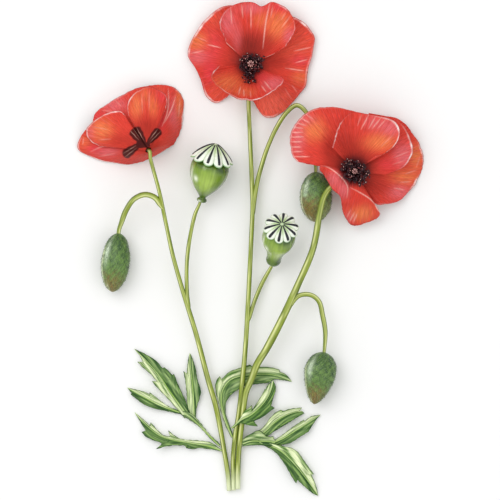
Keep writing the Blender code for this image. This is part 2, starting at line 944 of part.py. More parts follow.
def grow_stamen(bm, face, turn, spread):
    """Draws one face of the collar out along a filament and swells it into an anther."""
    centre = face.calc_center_median()
    out = Vector((centre.x, centre.y, 0.0)).normalized()
    side = Vector((-out.y, out.x, 0.0))
    length = STAMEN_LENGTHS[turn % len(STAMEN_LENGTHS)]
    lift = STAMEN_LIFTS[turn % len(STAMEN_LIFTS)]
    lift = math.radians(90.0 - (90.0 - lift) * spread)
    along = out * math.cos(lift) + Vector((0.0, 0.0, math.sin(lift)))
    over = side.cross(along)
    # Share of the length and half width of each section: the thin filament, then the anther.
    stations = ((0.25, 0.16), (0.8, 0.14), (0.84, 0.42), (0.97, 0.42), (1.0, 0.16))
    corners = [vertex.co - centre for vertex in face.verts]
    signs = [(1 if c.dot(out) > 0 else -1, 1 if c.dot(side) > 0 else -1) for c in corners]
    for share, half in stations:
        made = bmesh.ops.extrude_discrete_faces(bm, faces=[face])
        face = made["faces"][0]
        middle = centre + along * (length * share)
        for vertex, (outward, sideways) in zip(face.verts, signs):
            vertex.co = middle - over * (outward * half) + side * (sideways * half)


def bud_profile(length, radius, full):
    """Radius along a bud: rounded at the stalk, widest at full, drawn in to a blunt tip."""
    above, below = BUD_ROUND
    profile = []
    for share in BUD_SHARES:
        if share < full:
            swell = (1.0 - ((full - share) / full) ** 2) ** above
        else:
            swell = (1.0 - ((share - full) / (1.0 - full)) ** 2) ** below
        profile.append((max(BUD_END, radius * swell), length * share))
    return profile


def make_bud(name, bud):
    """A closed bud that hangs from its stalk and lies on its side."""
    top, tip = np.array(bud["top"]), np.array(bud["tip"])
    length = float(np.linalg.norm(tip - top))
    profile = bud_profile(length, bud["radius"], bud["full"])
    return place_along(turned(name, profile, BUD_SIDES, bud_green()), top, unit(tip - top))


def capsule_axis(capsule):
    """Direction from a capsule's foot to its cap."""
    bearing, rise = math.radians(capsule["bearing"]), math.radians(capsule["rise"])
    flat = math.cos(rise)
    return np.array((flat * math.sin(bearing), flat * math.cos(bearing), math.sin(rise)))


def make_capsule(name, capsule):
    """The ripe ovary: a ring at its foot, a short neck, a full body and a flat shoulder."""
    length, radius = capsule["length"], capsule["radius"]
    # Radius and height of each ring, as shares of the greatest radius and of the length.
    shares = (
        (0.14, 0.0),
        (0.21, 0.03),
        (0.17, 0.09),
        (0.30, 0.17),
        (0.62, 0.30),
        (0.88, 0.46),
        (1.0, 0.64),
        (0.96, 0.80),
        (0.80, 0.93),
        (0.66, 1.0),
    )
    profile = [(r * radius, h * length) for r, h in shares]
    body = turned(name, profile, CAPSULE_SIDES, capsule_green())
    place_along(body, capsule["foot"], capsule_axis(capsule))


def make_capsule_disc(name, capsule):
    """The rayed cap: a scalloped tent that sits on the capsule's shoulder."""
    radius, height = capsule["cap_radius"], capsule["cap_height"]
    base = GAP
    profile = [
        (0.62 * radius, base),
        (0.99 * radius, base + 0.02 * height),
        (1.0 * radius, base + 0.10 * height),
        (0.78 * radius, base + 0.42 * height),
        (0.42 * radius, base + 0.80 * height),
        (0.08 * radius, base + 1.0 * height),
    ]
    disc = turned(name, profile, 4 * CAPSULE_RAYS, disc_pale(), RAY_RIPPLE, CAPSULE_RAYS)
    axis = capsule_axis(capsule)
    foot = np.array(capsule["foot"]) + axis * capsule["length"]
    place_along(disc, foot, axis)


def make_leaf(name, leaf):
    """A cut leaf: its outline filled, let down from the foot to the table, and given thickness."""
    outline = np.array(leaf["outline"])
    foot = 0.5 * (outline[0] + outline[-1])
    away = np.linalg.norm(outline - foot, axis=1)
    fall = np.clip(away / LEAF_FALL, 0.0, 1.0)
    fall = fall * fall * (3.0 - 2.0 * fall)
    heights = leaf["foot"] + (leaf["blade"] - leaf["foot"]) * fall
    bm = bmesh.new()
    ring = [bm.verts.new((x * MM, y * MM, 0.0)) for x, y in outline]
    edges = [bm.edges.new((a, b)) for a, b in zip(ring, ring[1:] + ring[:1])]
    bmesh.ops.triangle_fill(bm, edges=edges, use_beauty=True, normal=(0.0, 0.0, 1.0))
    for vertex, height in zip(ring, heights):
        vertex.co.z = height * MM
    mesh = bpy.data.meshes.new(name)
    bm.to_mesh(mesh)
    bm.free()
    piece = add_object(name, mesh, leaf_green())
    wall = piece.modifiers.new("thickness", "SOLIDIFY")
    wall.thickness = LEAF_THICKNESS * MM
    wall.offset = 0.0
    return piece


def build():
    for piece in list(bpy.data.objects):
        bpy.data.objects.remove(piece, do_unlink=True)
    for name, flower in FLOWERS.items():
        make_stem(flower["stem"], flower)
        make_pistil(name + "_pistil", flower)
        make_stamens(name + "_stamens", flower)
        for petal_name, petal in flower["petals"].items():
            make_petal(name + "_petal_" + petal_name, flower, petal)
    for name, stalk in STALKS.items():
        make_stalk(name, stalk)
    for name, bud in BUDS.items():
        make_bud(name, bud)
    for name, capsule in CAPSULES.items():
        make_capsule(name, capsule)
        make_capsule_disc(name + "_disc", capsule)
    for name, leaf in LEAVES.items():
        make_leaf(name, leaf)


build()
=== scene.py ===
import math

import bpy
import numpy as np
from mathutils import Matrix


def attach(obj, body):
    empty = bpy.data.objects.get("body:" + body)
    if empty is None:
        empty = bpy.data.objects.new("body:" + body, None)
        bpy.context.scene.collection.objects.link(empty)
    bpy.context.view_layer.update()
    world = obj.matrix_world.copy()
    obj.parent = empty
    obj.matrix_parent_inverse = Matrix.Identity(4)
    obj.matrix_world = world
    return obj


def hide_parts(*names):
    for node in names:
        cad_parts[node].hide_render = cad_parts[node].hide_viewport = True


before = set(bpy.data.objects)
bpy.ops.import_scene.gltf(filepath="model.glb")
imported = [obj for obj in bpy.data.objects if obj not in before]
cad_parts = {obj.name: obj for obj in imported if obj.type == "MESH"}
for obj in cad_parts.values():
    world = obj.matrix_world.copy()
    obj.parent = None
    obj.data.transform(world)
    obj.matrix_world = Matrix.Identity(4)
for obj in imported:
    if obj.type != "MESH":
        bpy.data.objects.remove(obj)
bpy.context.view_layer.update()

# ------------------------------------------------------------------------------------------
# Stems
# Three shoots of one poppy plant, each a round, finely ribbed, yellow-green rod. They were cut
# with one knife stroke at the foot, which left it pale, and each swells at its top into the
# receptacle that its petals stand on. Places are in millimetres, as on a sheet of paper.

MM = 0.001  # one millimetre in metres

STEMS = {
    "left": {
        "flower": "left_flower",
        "line": [
            (-13.2, -145.2, 1.5), (-14.0, -134.7, 1.6), (-16.6, -117.9, 2.3), (-21.1, -94.5, 4.5),
            (-25.9, -77.7, 6.0), (-32.8, -51.3, 8.0), (-41.6, -22.5, 11.5), (-46.9, -3.3, 14.5),
            (-51.0, 15.9, 18.5), (-55.0, 35.1, 24.5), (-58.3, 47.5, 29.5), (-60.0, 54.0, 31.6),
        ],
        "radii": (1.3, 1.6, 1.45, 1.15, 1.1),
    },
    "middle": {
        "flower": "top_flower",
        "line": [
            (-10.5, -144.9, 1.5), (-10.6, -134.7, 1.6), (-10.6, -123.3, 2.0), (-9.4, -111.9, 2.7),
            (-7.6, -100.5, 3.6), (-6.2, -89.1, 4.6), (-5.0, -77.7, 5.5), (-3.4, -60.3, 6.5),
            (-1.7, -32.1, 7.0), (0.2, 6.3, 6.5), (1.0, 25.5, 6.0), (0.5, 42.5, 5.6),
            (-0.8, 73.1, 5.0), (-1.4, 88.5, 4.6), (-1.1, 101.0, 4.6), (-0.8, 106.8, 6.2),
        ],
        "radii": (1.4, 1.5, 1.4, 1.3, 1.2),
    },
    "right": {
        "flower": "right_flower",
        "line": [
            (-7.9, -144.2, 2.9), (-7.7, -129.3, 3.2), (-7.0, -117.9, 4.0), (-5.6, -106.2, 5.2),
            (-4.3, -94.5, 6.6), (-3.0, -86.1, 7.7), (0.4, -77.7, 8.6), (3.8, -68.7, 9.5),
            (9.0, -60.3, 10.3), (17.8, -43.5, 12.0), (27.6, -22.5, 14.2), (37.2, 0.5, 17.8),
            (41.2, 21.5, 21.8), (43.6, 31.1, 21.6), (46.8, 36.2, 20.4), (51.5, 39.8, 19.0),
            (56.5, 43.3, 19.0), (59.3, 45.2, 20.6),
        ],
        "radii": (1.5, 1.55, 1.7, 2.25, 2.3, 2.0, 2.0, 1.65, 1.3),
    },
}
SEATS = {  # middle of each receptacle's face, and the way its flower looks
    "top_flower": ((-0.5, 111.1, 12.0), (0.0, 0.45, 0.9)),
    "right_flower": ((61.6, 46.9, 26.0), (0.30, 0.33, 0.9)),
    "left_flower": ((-61.6, 59.7, 26.0), (-0.32, 0.35, -0.88)),
}
SEAT_LEAD = (3.6, 1.4)  # distances below the face at which a stem is already on the axis
SEAT_RADIUS = 1.9
STEM_SIDES = 28
STEM_RIBS = 7
STALK_RIBS = 6
RIB_DEPTH = 0.035  # as a share of the radius
STEM_STEP = 0.8
FOOT_FADE = 16.0  # length over which the cut foot is pale


def colour(red, green, blue):
    """A colour from 0-255 screen values to linear light, by the screen's own curve."""
    screen = np.array((red, green, blue), float) / 255.0
    return np.where(screen <= 0.04045, screen / 12.92, ((screen + 0.055) / 1.055) ** 2.4)


def mix(first, second, share):
    """first + (second - first) times share, for colours on a grid."""
    share = np.asarray(share, float)[..., None]
    return np.asarray(first) * (1.0 - share) + np.asarray(second) * share


def ramp(value, low, high):
    """0 below low, 1 above high, and 3x² - 2x³ between them."""
    x = np.clip((np.asarray(value, float) - low) / (high - low), 0.0, 1.0)
    return x * x * (3.0 - 2.0 * x)


def hump(value, middle, width):
    """A bell, 1 at the middle: the exponential of minus the squared distance in widths."""
    return np.exp(-(((np.asarray(value, float) - middle) / width) ** 2))


def unit(vectors):
    """The same directions at length one."""
    vectors = np.asarray(vectors, float)
    return vectors / np.linalg.norm(vectors, axis=-1, keepdims=True)


def waves(a, b, seed, count=7):
    """A slow uneven field from -1 to 1 over a and b: the mean of seeded sine waves, doubled."""
    draw = np.random.default_rng(seed)
    a, b = np.asarray(a, float)[..., None], np.asarray(b, float)[..., None]
    turn, rate_a, rate_b = draw.uniform(0, 2 * math.pi, (3, count))
    field = np.sin((0.4 + rate_a / 4) * a + (0.4 + rate_b / 4) * b * draw.choice((-1, 1), count) + turn)
    return np.clip(2.0 * field.mean(axis=-1), -1.0, 1.0)


def smooth_line(points, count=0, step=0.0):
    """A smooth curve through the points, read at count places or about every step, evenly spaced.

    Cubic pieces join the points; knots lie apart by the root of each chord, and the slope at a
    point is the gradient over its neighbours."""
    points = np.asarray(points, float)
    chords = np.linalg.norm(np.diff(points, axis=0), axis=1)
    knots = np.concatenate([[0.0], np.cumsum(np.sqrt(chords))])
    slopes = np.gradient(points, knots, axis=0)
    dense = np.linspace(0.0, knots[-1], 40 * len(points))
    k = np.clip(np.searchsorted(knots, dense, side="right") - 1, 0, len(knots) - 2)
    span = (knots[k + 1] - knots[k])[:, None]
    f = (dense - knots[k])[:, None] / span
    curve = (
        (2 * f**3 - 3 * f**2 + 1) * points[k]
        + (f**3 - 2 * f**2 + f) * span * slopes[k]
        + (3 * f**2 - 2 * f**3) * points[k + 1]
        + (f**3 - f**2) * span * slopes[k + 1]
    )
    along = np.concatenate([[0.0], np.cumsum(np.linalg.norm(np.diff(curve, axis=0), axis=1))])
    if step:
        count = max(2, int(round(along[-1] / step)) + 1)
    places = np.linspace(0.0, along[-1], count)
    return np.stack([np.interp(places, along, curve[:, i]) for i in range(points.shape[1])], axis=1)


def line_length(line):
    """Length of a line through its points."""
    return float(np.linalg.norm(np.diff(line, axis=0), axis=1).sum())


def rod(line, radii, sides, ribs=0, depth=0.0):
    """Rings round a line: centre + radius (cos a · side + sin a · over).

    side is level and square to the line, on its left, and over is square to both, on top. The
    radius swells by depth times cos(ribs · a)."""
    along = unit(np.gradient(line, axis=0))
    side = unit(np.cross((0.0, 0.0, 1.0), along))
    over = np.cross(along, side)
    angle = np.linspace(0.0, 2 * math.pi, sides, endpoint=False)
    reach = np.asarray(radii, float)[:, None] * (1.0 + depth * np.cos(ribs * angle))
    turned = np.cos(angle)[None, :, None] * side[:, None] + np.sin(angle)[None, :, None] * over[:, None]
    return line[:, None] + reach[..., None] * turned, angle


def grid_part(points, tint, size, wrap=False):
    """Faces of one grid of points, or of many like grids, for add_mesh.

    Each four neighbours make a face. With wrap the last column joins the first and both ends are
    closed by one flat face. The UV map runs over size, across and along, in millimetres."""
    points = np.asarray(points, float)
    if points.ndim == 3:
        points = points[None]
    tint = np.broadcast_to(tint, points.shape)
    copies, rows, columns = points.shape[:3]
    spans = columns if wrap else columns - 1
    i, j = (k.ravel() for k in np.meshgrid(np.arange(rows - 1), np.arange(spans), indexing="ij"))
    corner_row = np.stack([i, i, i + 1, i + 1], axis=1)
    corner_column = np.stack([j, j + 1, j + 1, j], axis=1)
    starts = np.arange(copies) * rows * columns
    quads = corner_row * columns + corner_column % columns
    places = np.stack([corner_column / spans * size[0], corner_row / (rows - 1) * size[1]], axis=-1)
    faces = [(quads + starts[:, None, None]).reshape(-1, 4)]
    charts = [np.tile(places, (copies, 1, 1))]
    if wrap:
        ring = np.arange(columns)
        for cap in (ring[::-1], ring + (rows - 1) * columns):
            faces.append(cap + starts[:, None])
            charts.append(np.zeros((copies, columns, 2)))
    return {"points": points.reshape(-1, 3), "tint": tint.reshape(-1, 3), "faces": faces, "charts": charts}


def add_mesh(name, parts, finish):
    """Joins parts into one mesh object with its Grain map, its Tint colours and its finish."""
    points = np.concatenate([part["points"] for part in parts]) * MM
    tint = np.concatenate([part["tint"] for part in parts])
    starts = np.cumsum([0] + [len(part["points"]) for part in parts])
    faces = [f + start for part, start in zip(parts, starts) for f in part["faces"]]
    charts = [chart.reshape(-1, 2) for part in parts for chart in part["charts"]]
    sizes = np.concatenate([np.full(len(f), f.shape[1]) for f in faces])
    corners = np.concatenate([f.ravel() for f in faces])
    mesh = bpy.data.meshes.new(name)
    mesh.vertices.add(len(points))
    mesh.vertices.foreach_set("co", points.astype(np.float32).ravel())
    mesh.loops.add(len(corners))
    mesh.loops.foreach_set("vertex_index", corners.astype(np.int32))
    mesh.polygons.add(len(sizes))
    mesh.polygons.foreach_set("loop_start", np.concatenate([[0], np.cumsum(sizes)[:-1]]).astype(np.int32))
    mesh.update(calc_edges=True)
    grain = mesh.uv_layers.new(name="Grain")
    grain.data.foreach_set("uv", np.concatenate(charts).astype(np.float32).ravel())
    paint = mesh.attributes.new("Tint", "FLOAT_COLOR", "POINT")
    opaque = np.column_stack([np.clip(tint, 0.0, 1.0), np.ones(len(tint))])
    paint.data.foreach_set("color", opaque.astype(np.float32).ravel())
    mesh.shade_smooth()
    mesh.materials.append(finish)
    piece = bpy.data.objects.new(name, mesh)
    bpy.context.scene.collection.objects.link(piece)
    return piece


def painted(name, roughness, grain, contrast, relief, specular=0.5, sheen=0.0, coat=0.0):
    """A finish that takes its colour from Tint and breaks it with streaks.

    grain is how many streaks a millimetre holds across and along the Grain map, contrast how far
    they lighten and darken the colour, and relief how deep they stand, in millimetres."""
    made = bpy.data.materials.new(name)
    made.use_nodes = True
    nodes, link = made.node_tree.nodes, made.node_tree.links.new
    shader = nodes["Principled BSDF"]
    shader.inputs["Roughness"].default_value = roughness
    shader.inputs["Specular IOR Level"].default_value = specular
    shader.inputs["Sheen Weight"].default_value = sheen
    shader.inputs["Coat Weight"].default_value = coat
    tint = nodes.new("ShaderNodeVertexColor")
    tint.layer_name = "Tint"
    place = nodes.new("ShaderNodeUVMap")
    place.uv_map = "Grain"
    stretch = nodes.new("ShaderNodeMapping")
    stretch.inputs["Scale"].default_value = (*grain, 1.0)
    noise = nodes.new("ShaderNodeTexNoise")
    noise.inputs["Scale"].default_value = 1.0
    noise.inputs["Detail"].default_value = 3.0
    spread = nodes.new("ShaderNodeMapRange")
    spread.inputs["From Min"].default_value = 0.3
    spread.inputs["From Max"].default_value = 0.7
    spread.inputs["To Min"].default_value = 1.0 - contrast
    spread.inputs["To Max"].default_value = 1.0 + contrast
    blend = nodes.new("ShaderNodeMix")
    blend.data_type = "RGBA"
    blend.blend_type = "MULTIPLY"
    blend.inputs["Factor"].default_value = 1.0
    bump = nodes.new("ShaderNodeBump")
    bump.inputs["Distance"].default_value = relief * MM
    link(place.outputs["UV"], stretch.inputs["Vector"])
    link(stretch.outputs["Vector"], noise.inputs["Vector"])
    link(noise.outputs["Fac"], spread.inputs["Value"])
    link(tint.outputs["Color"], blend.inputs["A"])
    link(spread.outputs["Result"], blend.inputs["B"])
    link(blend.outputs["Result"], shader.inputs["Base Color"])
    link(noise.outputs["Fac"], bump.inputs["Height"])
    link(bump.outputs["Normal"], shader.inputs["Normal"])
    return made


STEM_MID = colour(144, 160, 54)
STEM_HIGHLIGHT = colour(226, 230, 158)
STEM_SHADE_AND_SEAM = colour(80, 100, 26)
STEM_PALE = colour(226, 234, 196)
STEM_BROWN = colour(86, 40, 24)
stem_finish = painted("stem_skin", 0.42, (2.2, 0.12), 0.22, 0.10, specular=0.4, coat=0.1)


def stem_tint(angle, along, seed):
    """Colour round and along a stem: a broken painted highlight stripe on the upper left, painted olive shade
    on the right side and along the left edge, a darker line along the top, all uneven.
    """
    round_, run = np.meshgrid(angle, along)
    drift = waves(2.0 * np.cos(round_), run / 7.0, seed)
    patch = waves(0.0 * run, run / 5.0, seed + 7)
    # Painted highlight: a broken pale stripe on the upper left, where the lamp lights the stem. Painted
    # shade: olive down the right side and a dark line along the left edge.
    light = hump(round_, math.radians(66), 0.30) * np.clip(0.65 + 0.9 * patch, 0.0, 1.0)
    thin_highlight = hump(round_, math.radians(112), 0.13) * np.clip(0.3 - 1.2 * patch, 0.0, 0.8)
    painted_shade = hump(round_, math.radians(150), 0.34) + hump(round_, math.radians(22), 0.26)
    seam = hump(round_, math.radians(92), 0.14) * np.clip(0.4 + 0.8 * drift, 0.0, 0.8)
    tint = mix(STEM_MID, STEM_SHADE_AND_SEAM, np.clip(0.85 * painted_shade + 0.55 * seam - 0.4 * drift, 0.0, 0.95))
    return mix(tint, STEM_HIGHLIGHT, 0.95 * np.clip(light + thin_highlight, 0.0, 1.0))


for number, (name, stem) in enumerate(STEMS.items()):
    seat, axis = (np.array(v) for v in SEATS[stem["flower"]])
    axis = unit(axis)
    route = [*stem["line"], *(seat - axis * lead for lead in SEAT_LEAD), seat]
    line = smooth_line(route, step=STEM_STEP)
    run = np.arange(len(line)) * STEM_STEP
    radii = np.interp(run / run[-1], np.linspace(0.0, 1.0, len(stem["radii"])), stem["radii"])
    radii = radii * (1.0 + 0.035 * waves(run / 7.0, 0.0 * run, 40 + number))
    flare = SEAT_RADIUS if axis[2] > 0.0 else stem["radii"][-1] * 1.05
    radii = radii + (flare - radii) * ramp(run, run[-1] - 3.2, run[-1] - 0.4)
    rings, angle = rod(line, radii, STEM_SIDES, STEM_RIBS, RIB_DEPTH)
    tint = stem_tint(angle, run, 50 + number)
    fade = (1.0 - ramp(run, 1.0, FOOT_FADE))[:, None] * np.ones(STEM_SIDES)
    tint = mix(tint, STEM_PALE, 0.8 * fade)
    brown = ramp(run, run[-1] - 4.5, run[-1] - 1.5)[:, None] * np.ones(STEM_SIDES)
    tint = mix(tint, STEM_BROWN, 0.9 * brown)
    # The cut: rings that step in from the skin to the soft pith, a little way up the stem.
    start = unit(line[1] - line[0])
    cut = ((0.25, 0.9), (0.42, 0.2), (0.9, 0.0))
    inner = np.stack([line[0] + (rings[0] - line[0]) * share + start * deep for share, deep in cut])
    rings = np.concatenate([inner, rings])
    tint = np.concatenate([np.broadcast_to(STEM_PALE * 0.8, inner.shape), tint])
    girth = 2 * math.pi * stem["radii"][1]
    part = grid_part(rings, tint, (girth, run[-1]), wrap=True)
    piece = add_mesh(name + "_stem_ribbed", [part], stem_finish)
    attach(piece, "root")
    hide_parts(name + "_stem")

# ------------------------------------------------------------------------------------------
# Stalks
# Side shoots that spring from the stems: hooked ones bend over and carry the closed buds, and
# straighter ones carry the seed capsules. Each grows out of its stem through a short swelling.

STALKS = {
    "left_bud_stalk": {
        "line": [
            (-52.8, 24.6, 21.3), (-57.4, 31.0, 22.5), (-63.4, 32.9, 21.5), (-70.0, 30.3, 18.5),
            (-75.0, 23.4, 14.0), (-77.9, 15.9, 10.6), (-79.2, 12.2, 9.1), (-79.7, 8.6, 8.9),
        ],
        "radius": 1.6,
    },
    "left_capsule_stalk": {
        "line": [
            (-37.0, -37.4, 9.7), (-38.3, -27.0, 10.9), (-38.6, -11.1, 11.5), (-37.7, 0.5, 11.0),
            (-35.8, 11.9, 9.6), (-33.5, 21.5, 7.4), (-31.2, 26.8, 7.1), (-29.8, 30.4, 8.2),
        ],
        "radius": 1.15,
    },
    "middle_bud_stalk": {
        "line": [
            (0.7, 18.5, 6.1), (3.4, 38.7, 6.3), (6.3, 50.1, 6.8), (10.1, 61.7, 7.6),
            (15.8, 74.1, 8.6), (21.6, 82.5, 9.6), (27.4, 86.6, 10.3), (32.1, 83.7, 10.4),
            (36.2, 75.5, 10.2), (38.0, 62.0, 9.9), (38.9, 49.0, 9.8), (38.9, 45.5, 9.8),
        ],
        "radius": 1.3,
    },
    "middle_capsule_stalk": {
        "line": [
            (-2.3, -44.5, 6.9), (2.5, -30.1, 5.6), (6.8, -20.0, 3.6), (10.3, -13.6, 3.6),
            (12.4, -10.0, 6.2), (13.2, -7.9, 8.8),
        ],
        "radius": 1.2,
    },
    "right_bud_stalk": {
        "line": [
            (21.0, -36.6, 12.8), (28.6, -27.8, 13.6), (35.9, -27.3, 13.4), (40.7, -31.1, 12.8),
            (43.0, -39.7, 11.8), (44.6, -49.3, 10.6), (44.2, -59.0, 9.9), (43.8, -62.6, 9.8),
        ],
        "radius": 1.4,
    },
}
STALK_SIDES = 24
BASE_SWELL = 0.10  # how much thicker a stalk is where it springs from its stem
BASE_LENGTH = 11.0
ROOT_SHARE = 0.6  # how thick it is inside the stem, and over what length it leaves it
ROOT_LENGTH = 4.5
NECK_SHARE = 0.28  # how much thinner it is at its bud or capsule, and over what length
NECK_LENGTH = 14.0

for number, (name, stalk) in enumerate(STALKS.items()):
    line = smooth_line(stalk["line"], step=STEM_STEP)
    run = np.arange(len(line)) * STEM_STEP
    radii = stalk["radius"] * (1.0 + BASE_SWELL * (1.0 - ramp(run, 3.0, BASE_LENGTH)))
    radii = radii * (1.0 + 0.04 * waves(run / 6.0, 0.0 * run, 60 + number))
    radii = radii * (ROOT_SHARE + (1.0 - ROOT_SHARE) * ramp(run, 0.0, ROOT_LENGTH))
    radii = radii * (1.0 - NECK_SHARE * ramp(run, run[-1] - NECK_LENGTH, run[-1]))
    rings, angle = rod(line, radii, STALK_SIDES, STALK_RIBS, RIB_DEPTH)
    tint = stem_tint(angle, run, 70 + number)
    size = (2 * math.pi * stalk["radius"], run[-1])
    piece = add_mesh(name + "_ribbed", [grid_part(rings, tint, size, wrap=True)], stem_finish)
    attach(piece, "root")
    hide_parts(name)

# ------------------------------------------------------------------------------------------
# Buds
# Closed flower buds. Two boat-shaped green sepals meet edge to edge round the folded petals and
# turn brown towards the tip. Their skin is rough and bears stiff, pale and dark bristles.

BUDS = {
    "left_bud": {
        "top": (-79.5, 9.8, 8.9), "tip": (-83.3, -25.5, 8.8), "radius": 8.7, "full": 0.5,
        "taper": (2.0, 0.58), "brown": (0.80, 100.0, 0.85),
    },
    "middle_bud": {
        "top": (38.9, 46.6, 9.8), "tip": (39.1, 16.4, 9.7), "radius": 9.8, "full": 0.52,
        "taper": (2.0, 0.58), "brown": (0.60, 132.0, 0.95),
    },
    "right_bud": {
        "top": (43.9, -61.7, 9.8), "tip": (37.9, -92.9, 9.4), "radius": 9.8, "full": 0.38,
        "taper": (1.45, 0.62), "brown": (0.78, 98.0, 0.95),
    },
}
BUD_ROWS = 90
BUD_SIDES = 72
SEAM_DEPTH = 0.35
BRISTLES = 1500
BRISTLE_LENGTH = (0.6, 1.35)
BRISTLE_RADIUS = 0.06
BRISTLE_FLOOR = 0.1  # lowest height of a bristle over the table

BUD_MID = colour(104, 138, 64)
BUD_DARK = colour(42, 76, 38)
BUD_PALE_HIGHLIGHT = colour(206, 222, 194)
BUD_BROWN = colour(138, 106, 54)
BUD_RIM_HIGHLIGHT = colour(226, 234, 190)
bud_finish = painted("bud_skin", 0.5, (1.3, 0.8), 0.35, 0.22, specular=0.45, coat=0.15)
bristle_finish = painted("bristle", 0.45, (1.0, 1.0), 0.1, 0.0, specular=0.4)


def basis(axis):
    """Two directions square to an axis: one level, one as far up as it goes."""
    axis = unit(axis)
    side = unit(np.cross((0.0, 0.0, 1.0), axis))
    return side, np.cross(axis, side), axis


def bud_swell(share, bud):
    """Radius along a bud: an ellipse from the stalk to its widest place, then a tapering end."""
    full, (bend, power) = bud["full"], bud["taper"]
    above = np.clip(1.0 - ((full - share) / full) ** 2, 0.0, 1.0) ** 0.5
    beyond = np.clip((share - full) / (1.0 - full), 0.0, 1.0)
    below = np.clip(1.0 - beyond**bend, 0.0, 1.0) ** power
    return bud["radius"] * np.where(share < full, above, below)


def bud_surface(bud, share, angle, seed):
    """Points of a bud at shares of its length and angles round it, with the seam and unevenness."""
    top, tip = np.array(bud["top"]), np.array(bud["tip"])
    side, over, axis = basis(tip - top)
    reach = np.maximum(bud_swell(share, bud), 0.12)
    seam = hump(np.cos(angle), -1.0, 0.02) + hump(np.cos(angle), 1.0, 0.02)
    reach = reach * (1.0 + 0.012 * waves(3.0 * np.cos(angle), 14.0 * share, seed))
    reach = reach - SEAM_DEPTH * seam * ramp(reach, 0.5, 4.0)
    place = top + (tip - top) * share[..., None]
    turned = np.cos(angle)[..., None] * side + np.sin(angle)[..., None] * over
    return place + reach[..., None] * turned, turned, axis


for number, (name, bud) in enumerate(BUDS.items()):
    # Rows crowd towards both ends, where the bud is round.
    share = 0.5 - 0.5 * np.cos(np.linspace(0.0, math.pi, BUD_ROWS))
    angle = np.linspace(0.0, 2 * math.pi, BUD_SIDES, endpoint=False)
    share, angle = np.meshgrid(share, angle, indexing="ij")
    points, turned, axis = bud_surface(bud, share, angle, 80 + number)
    mottle = waves(9.0 * np.cos(angle), 30.0 * share, 83 + number, count=14)
    speck = waves(26.0 * np.cos(angle), 80.0 * share, 183 + number, count=16)
    gloom = 0.24 + 0.65 * mottle + 0.8 * speck + 0.4 * hump(share, 0.12, 0.22)
    tint = mix(BUD_MID, BUD_DARK, np.clip(gloom, 0.0, 0.95))
    # Painted highlight: a pale patch on the upper left of the bud.
    bud_highlight = hump(angle, math.radians(133), 0.20) * hump(share, 0.32, 0.20)
    tint = mix(tint, BUD_PALE_HIGHLIGHT, np.clip(0.95 * bud_highlight, 0.0, 0.9))
    start, bearing, strength = bud["brown"]
    brown = ramp(share + 0.10 * mottle + 0.05 * speck, start - 0.22, start + 0.12)
    brown = brown * (0.35 + 0.65 * hump(angle, math.radians(bearing), 0.9)) * strength
    tint = mix(tint, BUD_BROWN, np.clip(brown * (0.85 + 0.4 * speck), 0.0, 1.0))
    # Painted rim highlight: a pale line down the left edge, and a small pale spot on the upper left near the
    # tip.
    edge = hump(angle, math.radians(156), 0.10) * ramp(share, 0.15, 0.4)
    edge = edge + 0.8 * hump(angle, math.radians(132), 0.12) * hump(share, 0.92, 0.05)
    tint = mix(tint, BUD_RIM_HIGHLIGHT, np.clip(0.85 * edge, 0.0, 0.9))
    length = float(np.linalg.norm(np.array(bud["tip"]) - np.array(bud["top"])))
    part = grid_part(points, tint, (2 * math.pi * bud["radius"], length), wrap=True)
    piece = add_mesh(name + "_sepals", [part], bud_finish)
    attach(piece, "root")
    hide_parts(name)

    # Bristles: three-sided spikes that lean towards the tip, each its own way.
    draw = np.random.default_rng(90 + number)
    share = draw.uniform(0.04, 0.96, BRISTLES)
    angle = draw.uniform(0.0, 2 * math.pi, BRISTLES)
    foot, turned, axis = bud_surface(bud, share, angle, 80 + number)
    round_ = np.cross(axis, turned)
    lean = np.radians(draw.uniform(12.0, 34.0, BRISTLES))[:, None]
    slope = draw.uniform(-0.55, 0.55, BRISTLES)[:, None]
    slack = (bud_swell(np.minimum(share + 0.03, 1.0), bud) - bud_swell(share, bud)) / (0.03 * length)
    lie = unit(axis + slack[:, None] * turned + slope * round_)
    reach = unit(lie * np.cos(lean) + turned * np.sin(lean))
    long_ = draw.uniform(*BRISTLE_LENGTH, BRISTLES)[:, None]
    across = unit(np.cross(reach, turned))
    thick = unit(np.cross(across, reach))
    corner = np.radians((90.0, 210.0, 330.0))
    ring = np.cos(corner)[:, None, None] * across + np.sin(corner)[:, None, None] * thick
    ring = ring.transpose(1, 0, 2) * BRISTLE_RADIUS
    stations = ((-0.05, 1.0, 0.0), (0.5, 0.8, 0.05), (1.0, 0.15, 0.22))
    spikes = np.stack(
        [
            (foot + reach * long_ * share_ + turned * (curl * long_))[:, None] + ring * width
            for share_, width, curl in stations
        ],
        axis=1,
    )
    spikes[..., 2] = np.maximum(spikes[..., 2], BRISTLE_FLOOR)
    pale = (draw.uniform(0.0, 1.0, BRISTLES) < 0.45)[:, None, None, None]
    shade = np.where(pale, mix(BUD_MID, BUD_PALE_HIGHLIGHT, 0.45), BUD_DARK * 0.8)
    part = grid_part(spikes, shade, (1.0, 1.0), wrap=True)
    piece = add_mesh(name + "_bristles", [part], bristle_finish)
    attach(piece, "root")

# ------------------------------------------------------------------------------------------
# Capsules
# The ripe ovaries of flowers whose petals have dropped: smooth, waxy, bright green urns on a
# thick ring where the petals stood, with the faint ribs of their inner walls.

